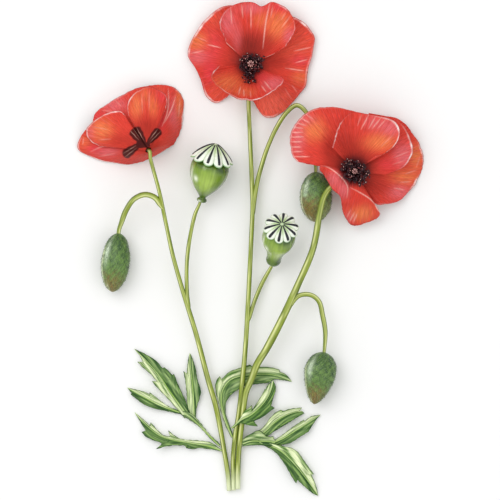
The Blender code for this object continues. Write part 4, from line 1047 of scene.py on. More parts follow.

# A petal's claw gives the bearings (degrees from +X) of its first and last side. Its rim runs
# from the first side to the last: across and up from the seat, then height over the table. Its
# belly gives the two heights that bend it at each side; a crest, where it has one, is the line
# that it folds over. Blots are (across, up, half width, half height, colour, strength); orange
# blots are painted highlights and the coral blot is painted light where the petal lies in shade.
# Creases are painted highlights: pale lines along the crests of folds (strength, points). Blots
# and creases are placed from the seat. White gives the parts of a rim that are white (share along
# it, half length, strength), edges the paleness of the sides, and pleat the depth of the
# crinkles.
PETALS = {
    "top_flower": {
        "upper": {
            "layer": 0, "claw": (140, 28), "belly": ((11.8, 10.0), (11.8, 10.0)),
            "rim": [
                (-14.2, 12.8, 14.0), (-18.5, 25.2, 15.5), (-12.1, 34.6, 13.5), (0.8, 37.5, 11.0),
                (6.7, 35.1, 10.0), (13.1, 37.5, 11.0), (22.2, 33.2, 13.5), (27.1, 22.5, 16.0),
                (22.2, 11.8, 15.0), (14.2, 6.4, 14.0),
            ],
            "blots": [
                (-0.5, 12.0, 10.0, 8.5, MAROON, 0.75), (11.0, 14.0, 5.0, 6.0, DEEP, 0.7),
                (17.0, 24.0, 7.0, 8.5, ORANGE_HIGHLIGHT, 0.95), (6.5, 27.0, 5.0, 5.0, ORANGE_HIGHLIGHT, 0.55),
                (-13.5, 25.5, 4.5, 9.0, PINK, 0.9), (1.0, 34.0, 8.0, 3.6, PINK, 0.75),
                (23.8, 17.0, 4.0, 5.0, PINK, 0.9), (19.0, 34.5, 8.0, 3.0, ROSE, 0.8),
                (-8.0, 17.0, 3.0, 9.0, PINK, 0.5),
            ],
            "crease_highlights": [
                (0.95, [(7.6, 9.4), (8.3, 16.0), (9.3, 24.5), (11.8, 37.4)]),
                (0.75, [(0.5, 36.5), (0.5, 21.0)]), (0.6, [(-5.2, 36.0), (-4.3, 27.5)]),
                (0.7, [(-11.8, 34.0), (-11.0, 24.5)]), (0.5, [(24.0, 29.0), (19.0, 22.0)]),
                (0.4, [(21.6, 31.5), (18.6, 26.5)]), (0.45, [(13.6, 35.6), (12.4, 28.0)]),
            ],
            "edges": (0.9, 0.6), "white": [(0.12, 0.1, 0.5), (0.62, 0.03, 0.6), (0.86, 0.1, 0.4)],
            "pleat": 0.28,
        },
        "lower": {
            "layer": 0, "claw": (190, 338), "belly": ((11.5, 14.0), (11.5, 14.0)),
            "rim": [
                (-19.0, -1.0, 20.0), (-23.3, -7.0, 26.0), (-22.3, -10.7, 29.0), (-12.6, -18.7, 33.0),
                (-5.6, -21.4, 34.0), (2.4, -22.0, 34.0), (14.2, -16.6, 32.0), (20.1, -9.7, 28.0),
                (17.9, -7.5, 24.0),
            ],
            "blots": [
                (0.0, -3.0, 8.0, 5.0, MAROON, 0.6), (-13.5, -11.5, 9.0, 5.5, ORANGE_HIGHLIGHT, 0.75),
                (-3.0, -17.0, 7.0, 3.0, ORANGE_HIGHLIGHT, 0.5), (14.2, -12.0, 7.0, 4.5, PINK, 0.95),
                (7.0, -7.5, 5.0, 3.5, ROSE, 0.5),
            ],
            "crease_highlights": [
                (0.7, [(-5.8, -13.6), (-7.1, -18.8)]), (0.6, [(-3.9, -15.2), (-3.6, -19.8)]),
                (0.75, [(8.4, -10.2), (12.6, -15.6)]), (0.7, [(6.8, -13.0), (9.8, -17.2)]),
                (0.4, [(0.0, -16.2), (0.4, -20.4)]),
            ],
            "edges": (0.0, 0.0), "white": [(0.07, 0.05, 0.9), (0.62, 0.26, 1.0)], "pleat": 0.2,
        },
        "left": {
            "layer": 1, "claw": (108, 228), "belly": ((8.2, 3.2), (8.2, 3.2)),
            "rim": [
                (-8.0, 36.0, 5.0), (-17.9, 34.3, 6.0), (-27.6, 26.3, 5.0), (-36.2, 12.8, 3.5),
                (-37.3, 5.3, 3.0), (-33.5, -1.0, 3.5), (-30.3, -8.0, 4.5), (-26.0, -19.3, 2.0),
                (-20.6, -23.0, 0.8), (-13.7, -19.3, 3.0),
            ],
            "blots": [
                (-4.0, 3.0, 7.0, 7.0, MAROON, 0.6), (-30.5, 14.0, 8.0, 5.5, ORANGE_HIGHLIGHT, 0.95),
                (-31.0, 4.5, 7.5, 4.5, PINK, 0.85), (-22.5, 13.0, 6.0, 9.0, ROSE, 0.7),
                (-24.0, -4.0, 5.0, 8.0, ROSE, 0.8), (-21.0, 28.0, 9.0, 7.0, FLAT_RED, 0.9),
                (-20.5, -18.0, 7.0, 6.0, FLAT_RED, 0.9),
            ],
            "crease_highlights": [
                (0.75, [(-25.9, 12.2), (-17.4, 10.1)]), (0.5, [(-36.0, 6.8), (-28.0, 8.4)]),
                (0.35, [(-33.0, 17.0), (-26.0, 14.0)]),
            ],
            "edges": (0.0, 0.0), "white": [(0.26, 0.15, 1.0), (0.5, 0.03, 0.7), (0.88, 0.1, 1.0)],
            "pleat": 0.2,
        },
        "right": {
            "layer": 1, "claw": (52, -72), "belly": ((8.2, 3.2), (8.2, 3.2)),
            "rim": [
                (24.0, 29.6, 6.0), (31.9, 25.7, 5.0), (38.3, 17.7, 4.0), (38.3, 10.7, 3.5),
                (34.6, -4.3, 3.0), (33.5, -12.3, 2.5), (29.2, -18.2, 2.0), (19.0, -28.9, 1.0),
                (13.7, -31.6, 0.7), (8.3, -31.0, 1.2), (1.9, -22.0, 4.0),
            ],
            "blots": [
                (27.0, 12.0, 14.0, 14.0, FLAT_RED, 0.9), (14.0, -25.0, 13.0, 10.0, CORAL_PAINTED_LIGHT, 1.0),
                (16.0, 1.5, 9.0, 4.0, DEEP, 0.75), (30.0, 2.5, 5.5, 3.5, ROSE, 0.8),
                (30.5, -8.0, 5.5, 4.5, ORANGE_HIGHLIGHT, 0.6), (6.0, 1.0, 6.0, 6.0, MAROON, 0.4),
            ],
            "crease_highlights": [
                (0.7, [(26.2, 8.2), (36.8, 10.6)]), (0.7, [(27.0, 1.2), (34.9, 3.4)]),
                (0.75, [(21.0, -2.0), (33.4, -3.8)]), (0.35, [(25.0, -12.0), (28.5, -17.0)]),
                (0.3, [(20.6, -14.0), (25.0, -20.5)]),
            ],
            "edges": (0.0, 0.0), "white": [(0.1, 0.07, 1.0), (0.42, 0.14, 0.4), (0.84, 0.05, 0.8)],
            "pleat": 0.2,
        },
    },
    "right_flower": {
        "left": {
            "layer": 1, "claw": (102, 168), "belly": ((24.0, 22.5), (25.5, 31.0)),
            "rim": [
                (5.0, 34.2, 21.5), (-2.5, 36.6, 20.8), (-8.6, 37.9, 20.0), (-15.5, 38.5, 19.5),
                (-24.1, 37.3, 19.0), (-29.9, 33.8, 19.0), (-35.6, 27.5, 19.5), (-38.2, 21.2, 20.0),
                (-37.9, 15.5, 20.5), (-35.6, 7.4, 21.5), (-31.0, 4.9, 23.0), (-25.3, 4.6, 25.0),
                (-20.2, 3.4, 27.0),
            ],
            "blots": [
                (-24.0, 25.0, 8.5, 7.0, ORANGE_HIGHLIGHT, 0.95), (-33.5, 20.0, 4.5, 11.0, PINK, 0.8),
                (-29.0, 31.0, 6.0, 4.0, PINK, 0.6), (-15.0, 13.0, 4.0, 9.0, DEEP, 0.85),
                (-13.0, 30.0, 5.0, 8.0, SCARLET, 0.6), (-6.0, 6.0, 7.0, 7.0, MAROON, 0.6),
            ],
            "crease_highlights": [
                (0.8, [(-37.6, 14.6), (-31.5, 14.4)]), (0.8, [(-37.8, 17.6), (-31.0, 17.6)]),
                (0.8, [(-38.0, 20.4), (-30.0, 20.6)]), (0.8, [(-37.6, 23.2), (-30.6, 23.2)]),
                (0.75, [(-36.4, 26.4), (-30.4, 25.6)]), (0.7, [(-34.6, 29.2), (-28.6, 27.2)]),
                (0.7, [(-32.0, 32.0), (-26.6, 29.0)]), (0.7, [(-37.0, 11.6), (-30.6, 11.8)]),
                (0.8, [(-36.2, 8.8), (-26.5, 8.6)]), (0.5, [(-29.0, 34.6), (-24.4, 31.0)]),
            ],
            "edges": (0.0, 0.3), "white": [(0.55, 0.25, 0.45), (0.84, 0.07, 0.95)], "pleat": 0.26,
        },
        "upper": {
            "layer": 0, "claw": (128, 36), "belly": ((26.5, 28.5), (26.5, 27.5)),
            "rim": [
                (-13.2, 14.3, 33.0), (-10.9, 23.0, 35.0), (-7.5, 29.8, 34.0), (-1.7, 35.0, 31.0),
                (9.2, 33.8, 28.0), (18.9, 32.2, 26.0), (24.7, 29.8, 25.0), (27.2, 25.8, 25.0),
                (26.9, 20.1, 26.0), (23.5, 14.3, 27.0), (17.8, 10.3, 28.0), (13.2, 9.2, 28.0),
            ],
            "blots": [
                (-3.0, 15.0, 9.0, 9.0, DEEP, 0.85), (1.0, 6.0, 8.0, 6.0, MAROON, 0.7),
                (16.0, 17.5, 9.5, 5.5, ORANGE_HIGHLIGHT, 0.95), (22.0, 26.0, 6.5, 5.0, PINK, 0.9),
                (11.0, 29.0, 6.5, 5.0, PINK, 0.6), (3.0, 27.0, 6.0, 6.0, SCARLET, 0.6),
            ],
            "crease_highlights": [
                (0.75, [(8.6, 33.4), (4.2, 25.0)]), (0.7, [(12.9, 32.8), (8.8, 25.4)]),
                (0.7, [(16.4, 32.2), (10.8, 25.2)]), (0.5, [(19.4, 31.4), (14.4, 25.6)]),
                (0.4, [(4.6, 34.0), (2.0, 27.0)]), (0.3, [(24.0, 22.0), (16.0, 14.5)]),
            ],
            "edges": (0.0, 0.1), "white": [(0.1, 0.1, 0.8), (0.68, 0.14, 0.9), (0.86, 0.08, 0.7)],
            "pleat": 0.22,
        },
        "middle": {
            "layer": 1, "claw": (52, -6), "belly": ((24.3, 21.5), (24.3, 21.5)),
            "rim": [
                (26.0, 31.0, 18.0), (31.6, 24.8, 16.5), (35.6, 13.2, 15.5), (34.4, 8.6, 16.0),
                (30.4, 2.9, 17.5), (24.7, 0.0, 19.5), (19.4, -1.9, 21.5),
            ],
            "blots": [
                (29.5, 10.0, 6.5, 8.0, PINK, 0.95), (27.0, 23.0, 6.0, 7.0, SCARLET, 0.5),
                (20.0, 4.0, 6.0, 4.0, ROSE, 0.6), (6.0, 2.0, 8.0, 6.0, MAROON, 0.6),
            ],
            "crease_highlights": [
                (0.35, [(33.0, 12.0), (24.0, 8.0)]), (0.3, [(31.0, 6.5), (23.0, 4.0)]),
            ],
            "edges": (0.0, 0.0), "white": [(0.45, 0.25, 0.95)], "pleat": 0.22,
        },
        "outer": {
            "layer": 2, "claw": (84, -58), "belly": ((21.0, 14.0), (20.5, 15.0)),
            "rim": [
                (9.2, 35.0, 14.0), (26.4, 31.6, 9.0), (31.6, 28.1, 7.0), (36.1, 21.8, 4.5),
                (40.1, 16.1, 2.2), (41.9, 9.2, 0.8), (41.3, 1.1, 0.6), (38.5, -4.6, 1.2),
                (35.0, -10.3, 2.5), (28.7, -16.6, 5.0), (21.8, -19.3, 7.5), (14.3, -19.8, 10.0),
                (10.3, -17.2, 12.5), (4.6, -12.7, 16.0),
            ],
            "blots": [
                (37.5, 9.5, 4.5, 9.0, ORANGE_HIGHLIGHT, 0.85), (31.0, -3.5, 9.0, 5.0, ORANGE_HIGHLIGHT, 0.75),
                (27.5, -12.5, 7.0, 4.5, PINK, 0.85), (14.0, -9.0, 9.0, 5.5, DEEP, 0.8),
                (34.0, 21.0, 5.0, 6.0, SCARLET, 0.8), (4.0, -5.0, 8.0, 6.0, MAROON, 0.7),
            ],
            "crease_highlights": [
                (0.4, [(38.0, 1.0), (31.0, -1.5)]), (0.4, [(35.0, -6.0), (28.0, -6.5)]),
                (0.5, [(31.0, -11.0), (24.0, -10.0)]), (0.3, [(40.4, 10.0), (37.5, 2.0)]),
            ],
            "edges": (0.0, 0.0), "white": [(0.42, 0.06, 0.5), (0.6, 0.04, 0.9), (0.86, 0.05, 0.3)],
            "pleat": 0.2,
        },
        "folded": {
            "layer": 0, "claw": (188, 304), "belly": ((28.0, 34.0), (27.0, 31.0)),
            "rim": [
                (-20.5, 0.8, 24.0), (-18.4, -1.9, 23.5), (-15.5, -6.3, 24.5), (-12.1, -11.5, 26.0),
                (-8.6, -14.9, 25.0), (-7.5, -18.4, 21.0), (-6.4, -24.7, 15.0), (-4.0, -29.3, 11.0),
                (-1.2, -32.2, 9.0), (7.4, -31.0, 8.0), (14.9, -27.5, 9.0), (15.8, -25.3, 10.0),
                (12.1, -19.5, 15.0),
            ],
            "crest": [
                (-18.5, 3.2, 27.0), (-14.0, 0.8, 30.0), (-10.0, -2.0, 31.5), (-6.5, -5.6, 32.0),
                (-4.2, -9.4, 31.0), (-3.4, -12.6, 28.5), (-1.6, -11.4, 28.5), (1.6, -12.2, 27.5),
                (5.4, -14.4, 25.5), (9.8, -17.0, 22.0), (12.6, -19.8, 18.0), (14.4, -22.4, 14.5),
            ],
            "blots": [
                (-2.0, -3.5, 6.0, 4.5, MAROON, 0.8), (-12.0, -5.0, 5.0, 5.0, PINK, 0.9),
                (-6.5, -11.5, 3.6, 5.0, PINK, 0.95), (5.0, -25.0, 7.0, 5.0, ORANGE_HIGHLIGHT, 0.95),
                (1.5, -17.0, 4.0, 5.0, SCARLET, 0.6), (-3.0, -28.0, 3.0, 4.0, PINK, 0.5),
            ],
            "crease_highlights": [
                (
                    0.95,
                    [(-20.0, 3.6), (-14.5, 1.6), (-10.0, -1.6), (-6.0, -5.6), (-3.9, -9.6), (-4.2, -16.0)],
                ),
                (0.95, [(12.6, -19.8), (15.0, -24.0)]),
                (0.85, [(-2.2, -9.8), (4.6, -13.4), (9.8, -16.8), (13.0, -20.4), (15.4, -24.6)]),
                (0.8, [(-2.4, -29.8), (0.6, -24.6)]), (0.7, [(-0.4, -30.6), (2.2, -25.4)]),
                (0.5, [(-4.2, -27.6), (-1.6, -22.6)]),
            ],
            "edges": (0.3, 0.6), "white": [(0.55, 0.05, 0.4), (0.95, 0.06, 0.95)], "pleat": 0.18,
        },
    },
    "left_flower": {
        "upper": {
            "layer": 1, "claw": (116, 66), "belly": ((27.5, 24.0), (27.5, 24.0)),
            "rim": [
                (-9.2, 15.6, 21.0), (-12.3, 23.1, 17.5), (-12.0, 29.1, 14.5), (-8.2, 34.1, 11.5),
                (-0.7, 38.0, 9.5), (5.3, 36.6, 10.5), (10.3, 33.1, 12.5), (11.2, 29.1, 14.5),
                (9.2, 22.1, 18.5), (5.8, 14.2, 22.0),
            ],
            "blots": [
                (-7.0, 26.0, 4.0, 7.5, ORANGE_HIGHLIGHT, 0.8), (3.0, 26.0, 2.8, 7.0, ORANGE_HIGHLIGHT, 0.7),
                (-1.0, 13.0, 9.0, 7.0, DEEP, 0.85), (-2.0, 33.0, 3.0, 5.0, ORANGE_HIGHLIGHT, 0.5),
                (8.0, 32.0, 3.0, 4.0, ROSE, 0.6),
            ],
            "crease_highlights": [
                (0.35, [(-4.0, 34.0), (-3.4, 22.0)]), (0.35, [(0.6, 36.0), (0.6, 24.0)]),
            ],
            "edges": (0.5, 0.8), "white": [(0.25, 0.14, 0.7), (0.78, 0.10, 1.0)], "pleat": 0.14,
        },
        "left": {
            "layer": 1, "claw": (132, 184), "belly": ((27.5, 23.0), (27.0, 23.0)),
            "rim": [
                (-11.2, 14.3, 21.5), (-13.9, 20.3, 18.5), (-17.1, 23.4, 16.0), (-23.1, 22.6, 13.5),
                (-28.6, 20.2, 11.5), (-35.5, 15.2, 9.0), (-37.5, 12.2, 8.5), (-36.1, 7.2, 8.5),
                (-32.0, 3.7, 10.5), (-24.6, 2.2, 15.0), (-17.1, 1.7, 19.0),
            ],
            "blots": [
                (-28.0, 12.0, 7.5, 6.5, ORANGE_HIGHLIGHT, 0.95), (-17.0, 17.5, 5.0, 5.0, SCARLET, 0.6),
                (-18.0, 6.0, 8.0, 4.0, DEEP, 0.5), (-35.0, 11.0, 3.0, 5.0, PINK, 0.5),
            ],
            "crease_highlights": [
                (0.3, [(-33.0, 14.0), (-24.0, 12.0)]), (0.3, [(-30.0, 6.0), (-22.0, 6.5)]),
            ],
            "edges": (0.95, 0.4), "white": [(0.22, 0.28, 0.75), (0.7, 0.16, 0.8)], "pleat": 0.14,
        },
        "right": {
            "layer": 0, "claw": (84, 6), "belly": ((21.5, 12.5), (22.0, 12.0)),
            "rim": [
                (-2.6, 38.2, 4.0), (1.5, 39.0, 3.0), (7.7, 39.3, 2.0), (14.7, 38.0, 1.0), (20.2, 32.1, 0.6),
                (20.9, 23.1, 0.6), (19.7, 14.2, 0.8), (15.2, 4.2, 1.2), (8.4, 0.8, 3.0),
            ],
            "blots": [
                (15.0, 22.0, 3.5, 10.0, PINK, 0.75), (18.5, 28.0, 2.4, 9.0, ORANGE_HIGHLIGHT, 0.85),
                (6.0, 33.0, 4.5, 6.0, FLAT_RED, 0.9), (10.0, 9.0, 6.0, 6.0, SCARLET, 0.9),
                (7.0, 17.0, 4.0, 7.0, ROSE, 0.6),
            ],
            "crease_highlights": [
                (0.85, [(8.2, 14.0), (11.2, 22.0), (12.0, 32.0), (11.6, 37.6)]),
                (0.85, [(9.6, 16.0), (13.6, 24.0), (16.4, 33.0)]),
                (0.5, [(18.0, 20.0), (18.8, 31.0)]),
            ],
            "edges": (0.0, 0.0), "white": [(0.35, 0.06, 0.3), (0.62, 0.07, 1.0)], "pleat": 0.14,
        },
        "lower": {
            "layer": 0, "claw": (8, -190), "belly": ((20.5, 9.0), (20.0, 8.0)),
            "rim": [
                (15.6, 4.0, 2.6), (9.4, 0.0, 2.6), (3.4, -3.6, 1.6), (-3.7, -6.6, 0.6), (-12.2, -8.4, 0.5),
                (-19.6, -7.6, 0.5), (-27.1, -6.7, 0.7), (-33.1, -4.7, 0.9), (-38.5, -2.2, 1.1),
                (-42.0, 0.2, 1.4), (-42.8, 3.2, 1.8), (-40.5, 8.7, 2.6), (-38.0, 12.2, 3.4),
            ],
            "blots": [
                (-24.0, -1.0, 9.0, 3.0, PINK, 0.85), (-38.0, 4.0, 4.0, 5.0, ORANGE_HIGHLIGHT, 0.5),
                (-10.0, -3.0, 9.0, 4.0, SCARLET, 0.9), (-33.0, 1.0, 6.0, 2.5, ROSE, 0.8),
                (-8.0, -7.0, 8.0, 2.0, DEEP, 0.3),
            ],
            "crease_highlights": [
                (0.6, [(-35.0, -1.0), (-28.0, 2.0), (-20.0, 3.2)]), (0.3, [(-30.0, -3.8), (-20.0, -2.0)]),
                (0.4, [(-39.0, 8.0), (-39.6, 3.0)]),
            ],
            "edges": (0.0, 0.0), "white": [(0.12, 0.06, 0.6), (0.61, 0.11, 1.7), (0.86, 0.05, 0.5)],
            "pleat": 0.12,
        },
        "far": {
            "layer": 0, "claw": (150, 98), "belly": ((23.0, 14.0), (23.5, 15.0)),
            "rim": [
                (-33.6, 16.8, 3.0), (-32.0, 22.1, 1.4), (-24.6, 28.1, 0.7), (-15.1, 33.6, 0.5),
                (-5.0, 38.0, 1.5), (0.5, 38.2, 3.0),
            ],
            "blots": [
                (-20.0, 27.0, 8.0, 5.0, PINK, 0.75), (-30.0, 20.0, 4.0, 4.0, ROSE, 0.6),
                (-10.0, 33.0, 5.0, 4.0, SCARLET, 0.6),
            ],
            "crease_highlights": [(0.35, [(-28.0, 24.0), (-21.0, 23.0)]), (0.35, [(-20.0, 30.0), (-16.0, 26.0)])],
            "edges": (0.0, 0.0), "white": [(0.5, 0.2, 0.3)], "pleat": 0.14,
        },
    },
}

# Distances from the seat between which the dark middle of an open flower fades out.
DARK_HEARTS = {"top_flower": (3.8, 9.0), "right_flower": (5.0, 11.0)}

# Dark blotches at the base of the left flower's petals: middle, bearing, half length, half width,
# and how many pale veins run along them.
BLOTCHES = [
    (-5.3, 7.6, 125.7, 6.5, 4.9, 3), (3.1, 7.6, 50.0, 6.2, 3.3, 2), (-9.4, 0.2, 213.0, 6.8, 3.6, 2),
    (-2.8, 3.0, 170.0, 4.4, 3.0, 0),
]


def petal_points(seat, axis, petal):
    """Grid of a petal with t from its claw to its rim and u from its first side to its last.

    Every column is a cubic curve from claw to rim. Without a crest it is straight in plan and the
    two belly heights bend it; with one, both inner control points are placed so that the curve
    passes through the crest half way along."""
    seat, axis = np.array(seat), unit(np.array(axis))
    rim_line = smooth_line(petal["rim"], step=PETAL_COLUMN)
    columns = len(rim_line)
    u = np.linspace(0.0, 1.0, columns)
    angle = np.radians(np.interp(u, (0.0, 1.0), petal["claw"]))
    out = np.stack([np.cos(angle), np.sin(angle), 0.0 * angle], axis=1)
    out = unit(out - (out @ axis)[:, None] * axis)
    claw = seat + out * CLAW_RADIUS - axis * petal["layer"] * LAYER_STEP
    flat = np.array((*seat[:2], 0.0))
    rim = rim_line + flat
    length = np.linalg.norm(rim - claw, axis=1).mean()
    rows = int(length / PETAL_ROW) + 1
    t = np.linspace(0.0, 1.0, rows)[:, None, None]
    if "crest" in petal:
        crest = smooth_line(petal["crest"], count=columns) + flat
        first = second = (crest - (claw + rim) / 8.0) / 0.75
    else:
        start, end = np.array(petal["belly"])
        first, second = claw + (rim - claw) / 3.0, claw + (rim - claw) * 2.0 / 3.0
        first[:, 2] = start[0] + (end[0] - start[0]) * u
        second[:, 2] = start[1] + (end[1] - start[1]) * u
    points = (1 - t) ** 3 * claw + 3 * (1 - t) ** 2 * t * first + 3 * (1 - t) * t**2 * second + t**3 * rim
    return points, u[None, :] + 0.0 * t[..., 0], t[..., 0] + 0.0 * u[None, :], length


def sheet_normals(points):
    """Directions square to a grid of points: the cross product of its two gradients."""
    return unit(np.cross(np.gradient(points, axis=1), np.gradient(points, axis=0)))


def line_mask(x, y, points, width):
    """Bells across a line in plan, 1 on the line, that narrow and fade towards both its ends."""
    line = smooth_line(points, step=0.4) if len(points) > 2 else np.linspace(*points, 30)
    body = np.sin(math.pi * np.linspace(0.06, 0.94, len(line))) ** 0.6
    mask = np.zeros(x.shape)
    for (px, py), full in zip(line, body):
        near = np.exp(-((x - px) ** 2 + (y - py) ** 2) / (width * (0.35 + 0.65 * full)) ** 2)
        mask = np.maximum(mask, full * near)
    return mask


petal_finish = painted("petal_silk", 0.6, (3.2, 0.30), 0.27, 0.08, specular=0.15)
seed = 200
for flower, petals in PETALS.items():
    seat, axis = SEATS[flower]
    for name, petal in petals.items():
        seed += 1
        points, u, t, length = petal_points(seat, axis, petal)
        width = line_length(np.array(petal["rim"]))
        # Crinkles: shallow folds that run from claw to rim and deepen outwards, and a frilled rim.
        fold = waves(u * width * 0.9, t * 1.2, seed) + 0.7 * waves(u * width * 2.2, t * 1.5, seed + 50)
        slow = waves(u * width * 0.25, t * 2.0, seed + 100)
        lift = petal["pleat"] * (fold * ramp(t, 0.25, 1.0) + 0.9 * slow * ramp(t, 0.1, 0.6))
        points = points + sheet_normals(points) * lift[..., None]
        frill = 0.16 * waves(u * width * 0.35, 0.0 * t, seed + 150) * t**6
        plan = points[..., :2] - np.array(seat[:2])
        points[..., :2] += unit(plan) * frill[..., None]
        points[..., 2] = np.maximum(points[..., 2], PETAL_FLOOR)
        x, y = points[..., 0] - seat[0], points[..., 1] - seat[1]
        comb = waves(u * width * 3.0, 0.6 * t, seed + 350, count=12)
        tint = mix(SCARLET, DEEP, 0.8 * (1.0 - ramp(t + 0.16 * comb, 0.12, 0.58)))
        for across, up, half_width, half_height, hue, strength in petal["blots"]:
            spread = ((x - across) / half_width) ** 2 + ((y - up) / half_height) ** 2
            uneven = 1.0 + 0.22 * waves(u * width * 1.3, t * 3.0, seed + 200) + 0.22 * comb
            tint = mix(tint, hue, np.clip(strength * uneven * np.exp(-(spread**1.2)), 0.0, 1.0))
        streak = waves(u * width * 2.6, t * 2.5, seed + 250, count=12)
        tint = mix(tint, PINK, 0.30 * np.clip(streak, 0.0, 1.0) * ramp(t, 0.3, 0.9))
        tint = mix(tint, DEEP, 0.38 * np.clip(-streak, 0.0, 1.0) * (1.0 - 0.5 * t))
        # Painted highlights: pale lines along the crests of the creases and pleats.
        for strength, line in petal["crease_highlights"]:
            tint = mix(tint, PALE, 0.9 * strength * line_mask(x, y, line, CREASE_WIDTH))
        first, last = petal["edges"]
        side = first * hump(u * width * t, 0.0, 0.5) + last * hump((1.0 - u) * width * t, 0.0, 0.5)
        tint = mix(tint, PALE, np.clip(0.85 * side * ramp(t, 0.45, 0.8), 0.0, 0.85))
        # Distance in from the rim: the mean of that along the petal and that in plan.
        step = np.diff(points, axis=0)
        step = 0.5 * (np.linalg.norm(step, axis=-1) + np.linalg.norm(step[..., :2], axis=-1))
        inward = np.concatenate([np.cumsum(step[::-1], axis=0)[::-1], 0.0 * t[:1]])
        tint = mix(tint, DEEP, 0.45 * hump(inward, 0.0, 0.3))
        white = sum(power * hump(u, middle, spread) for middle, spread, power in petal["white"])
        white = np.clip(white * (0.8 + 0.35 * waves(u * width * 0.6, 0.0 * t, seed + 300)), 0.0, 1.0)
        # A white strip inside a thin dull-red hem.
        strip = ramp(inward, 0.25, 0.55) * (1.0 - ramp(inward, 0.8, 1.0 + 0.8 * white))
        tint = mix(tint, WHITE, 0.95 * white * strip)
        tint = mix(tint, HEM, 0.8 * white * (1.0 - ramp(inward, 0.2, 0.55)))
        if flower in DARK_HEARTS:
            core = np.hypot(x * 0.92, y) + 1.1 * comb
            tint = mix(tint, HEART, 0.92 * (1.0 - ramp(core, *DARK_HEARTS[flower])))
        if flower == "left_flower":
            for across, up, bearing, half_long, half_wide, veins in BLOTCHES:
                bearing = math.radians(bearing)
                ahead = (x - across) * math.cos(bearing) + (y - up) * math.sin(bearing)
                beside = (y - up) * math.cos(bearing) - (x - across) * math.sin(bearing)
                swell = half_wide * (0.68 + 0.32 * ahead / half_long) * (1.0 + 0.05 * np.sin(1.7 * ahead))
                reach = (ahead / half_long) ** 4 + (beside / np.maximum(swell, 0.3)) ** 2
                inside = 1.0 - ramp(reach, 0.78, 1.12)
                tint = mix(tint, BLOTCH, 0.97 * inside)
                for vein in range(veins):
                    offset = (vein + 0.5) / veins * 1.3 - 0.65
                    stroke = hump(beside, offset * swell, 0.17)
                    stroke = stroke * hump(ahead / half_long, 0.2 + 0.15 * vein, 0.5)
                    tint = mix(tint, BLOTCH_VEIN, 0.7 * stroke * inside)
        part = grid_part(points, tint, (width, length))
        piece = add_mesh(f"{flower}_{name}_petal", [part], petal_finish)
        wall = piece.modifiers.new("thickness", "SOLIDIFY")
        wall.thickness = PETAL_THICKNESS * MM
        wall.offset = 0.0
        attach(piece, "root")
        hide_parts(f"{flower}_petal_{name}")

# ------------------------------------------------------------------------------------------
# Pistils
# The ovary stands in the middle of each flower on the receptacle: a small dark, ribbed urn under
# a flat disc. The disc is the stigma, with pale velvety rays between maroon furrows.

LOOKS = {  # the way that each flower's middle stands
    "top_flower": (0.06, 0.04, 1.0), "right_flower": (0.06, -0.02, 1.0),
    "left_flower": (-0.32, 0.35, -0.88),
}
PISTIL_RAYS = 8
PISTIL_SIZE = {"top_flower": 0.86, "right_flower": 0.72, "left_flower": 0.86}
PISTIL_SIDES = 96
PISTIL_ROWS = 60
PISTIL_PROFILE = [
    (0.9, 0.3), (1.25, 1.0), (1.7, 2.2), (2.0, 3.6), (1.95, 4.8), (1.65, 5.7), (1.75, 6.0),
    (2.25, 6.15), (2.35, 6.4), (2.15, 6.7), (1.3, 7.0), (0.7, 7.05), (0.3, 6.95),
]
OVARY_DARK = colour(60, 34, 34)
STIGMA_PALE = colour(240, 188, 178)
STIGMA_DARK = colour(74, 16, 24)
pistil_finish = painted("pistil_velvet", 0.6, (2.0, 2.0), 0.12, 0.04, specular=0.3)

for flower, (seat, axis) in SEATS.items():
    profile = smooth_line(PISTIL_PROFILE, count=PISTIL_ROWS)
    angle = np.linspace(0.0, 2 * math.pi, PISTIL_SIDES, endpoint=False)
    radii, angle = np.meshgrid(profile[:, 0], angle, indexing="ij")
    # The rays lie unevenly round the disc and are not equally pale.
    stray = 0.10 * np.sin(2.0 * angle + 0.6) + 0.06 * np.sin(3.0 * angle)
    ray = np.cos(PISTIL_RAYS * (angle + stray))
    heights = profile[:, 1:] + 0.0 * ray
    reach = radii * PISTIL_SIZE[flower] * (1.0 + 0.05 * ray)
    points = turned_rings(seat, unit(LOOKS[flower]), reach, heights, angle)
    top = ramp(heights, 5.9, 6.3)
    pale = ramp(ray, 0.0, 0.7) * ramp(radii, 0.55, 0.95)
    pale = pale * (0.72 + 0.28 * waves(3.0 * np.cos(angle), 3.0 * np.sin(angle), 130))
    tint = mix(OVARY_DARK, mix(STIGMA_DARK, STIGMA_PALE, pale), top)
    part = grid_part(points, tint, (12.0, 8.0), wrap=True)
    piece = add_mesh(flower + "_ovary", [part], pistil_finish)
    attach(piece, "root")
    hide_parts(flower + "_pistil")

# ------------------------------------------------------------------------------------------
# Stamens
# A thick ring of stamens crowds round each ovary. Each is a thread-thin dark filament that
# bends outwards and carries a near-black anther, dusted with a little cream pollen.

# Each group is a number of stamens, the bearing of their middle and how far they spread to either
# side in degrees, then the least and greatest reach from the axis and height over the seat.
STAMENS = {
    "top_flower": [
        (140, 0.0, 180.0, (2.8, 6.9), (1.8, 6.2)), (40, 264.0, 25.0, (5.5, 11.4), (3.0, 6.0)),
        (14, 24.0, 11.0, (5.5, 9.2), (4.0, 6.5)), (7, 345.0, 9.0, (5.0, 7.6), (3.0, 5.0)),
    ],
    "right_flower": [
        (160, 0.0, 180.0, (2.4, 7.2), (1.8, 6.4)), (36, 325.0, 40.0, (5.8, 9.8), (3.0, 6.2)),
        (26, 140.0, 36.0, (5.5, 8.8), (3.0, 6.2)),
    ],
    "left_flower": [(40, 0.0, 180.0, (2.6, 4.6), (4.5, 7.4))],
}
FILAMENT_RADIUS = 0.11
FILAMENT_FOOT = (1.9, 0.4)  # distance from the axis and height over the seat where it springs
ANTHER = (0.86, 0.46)  # half length and half width
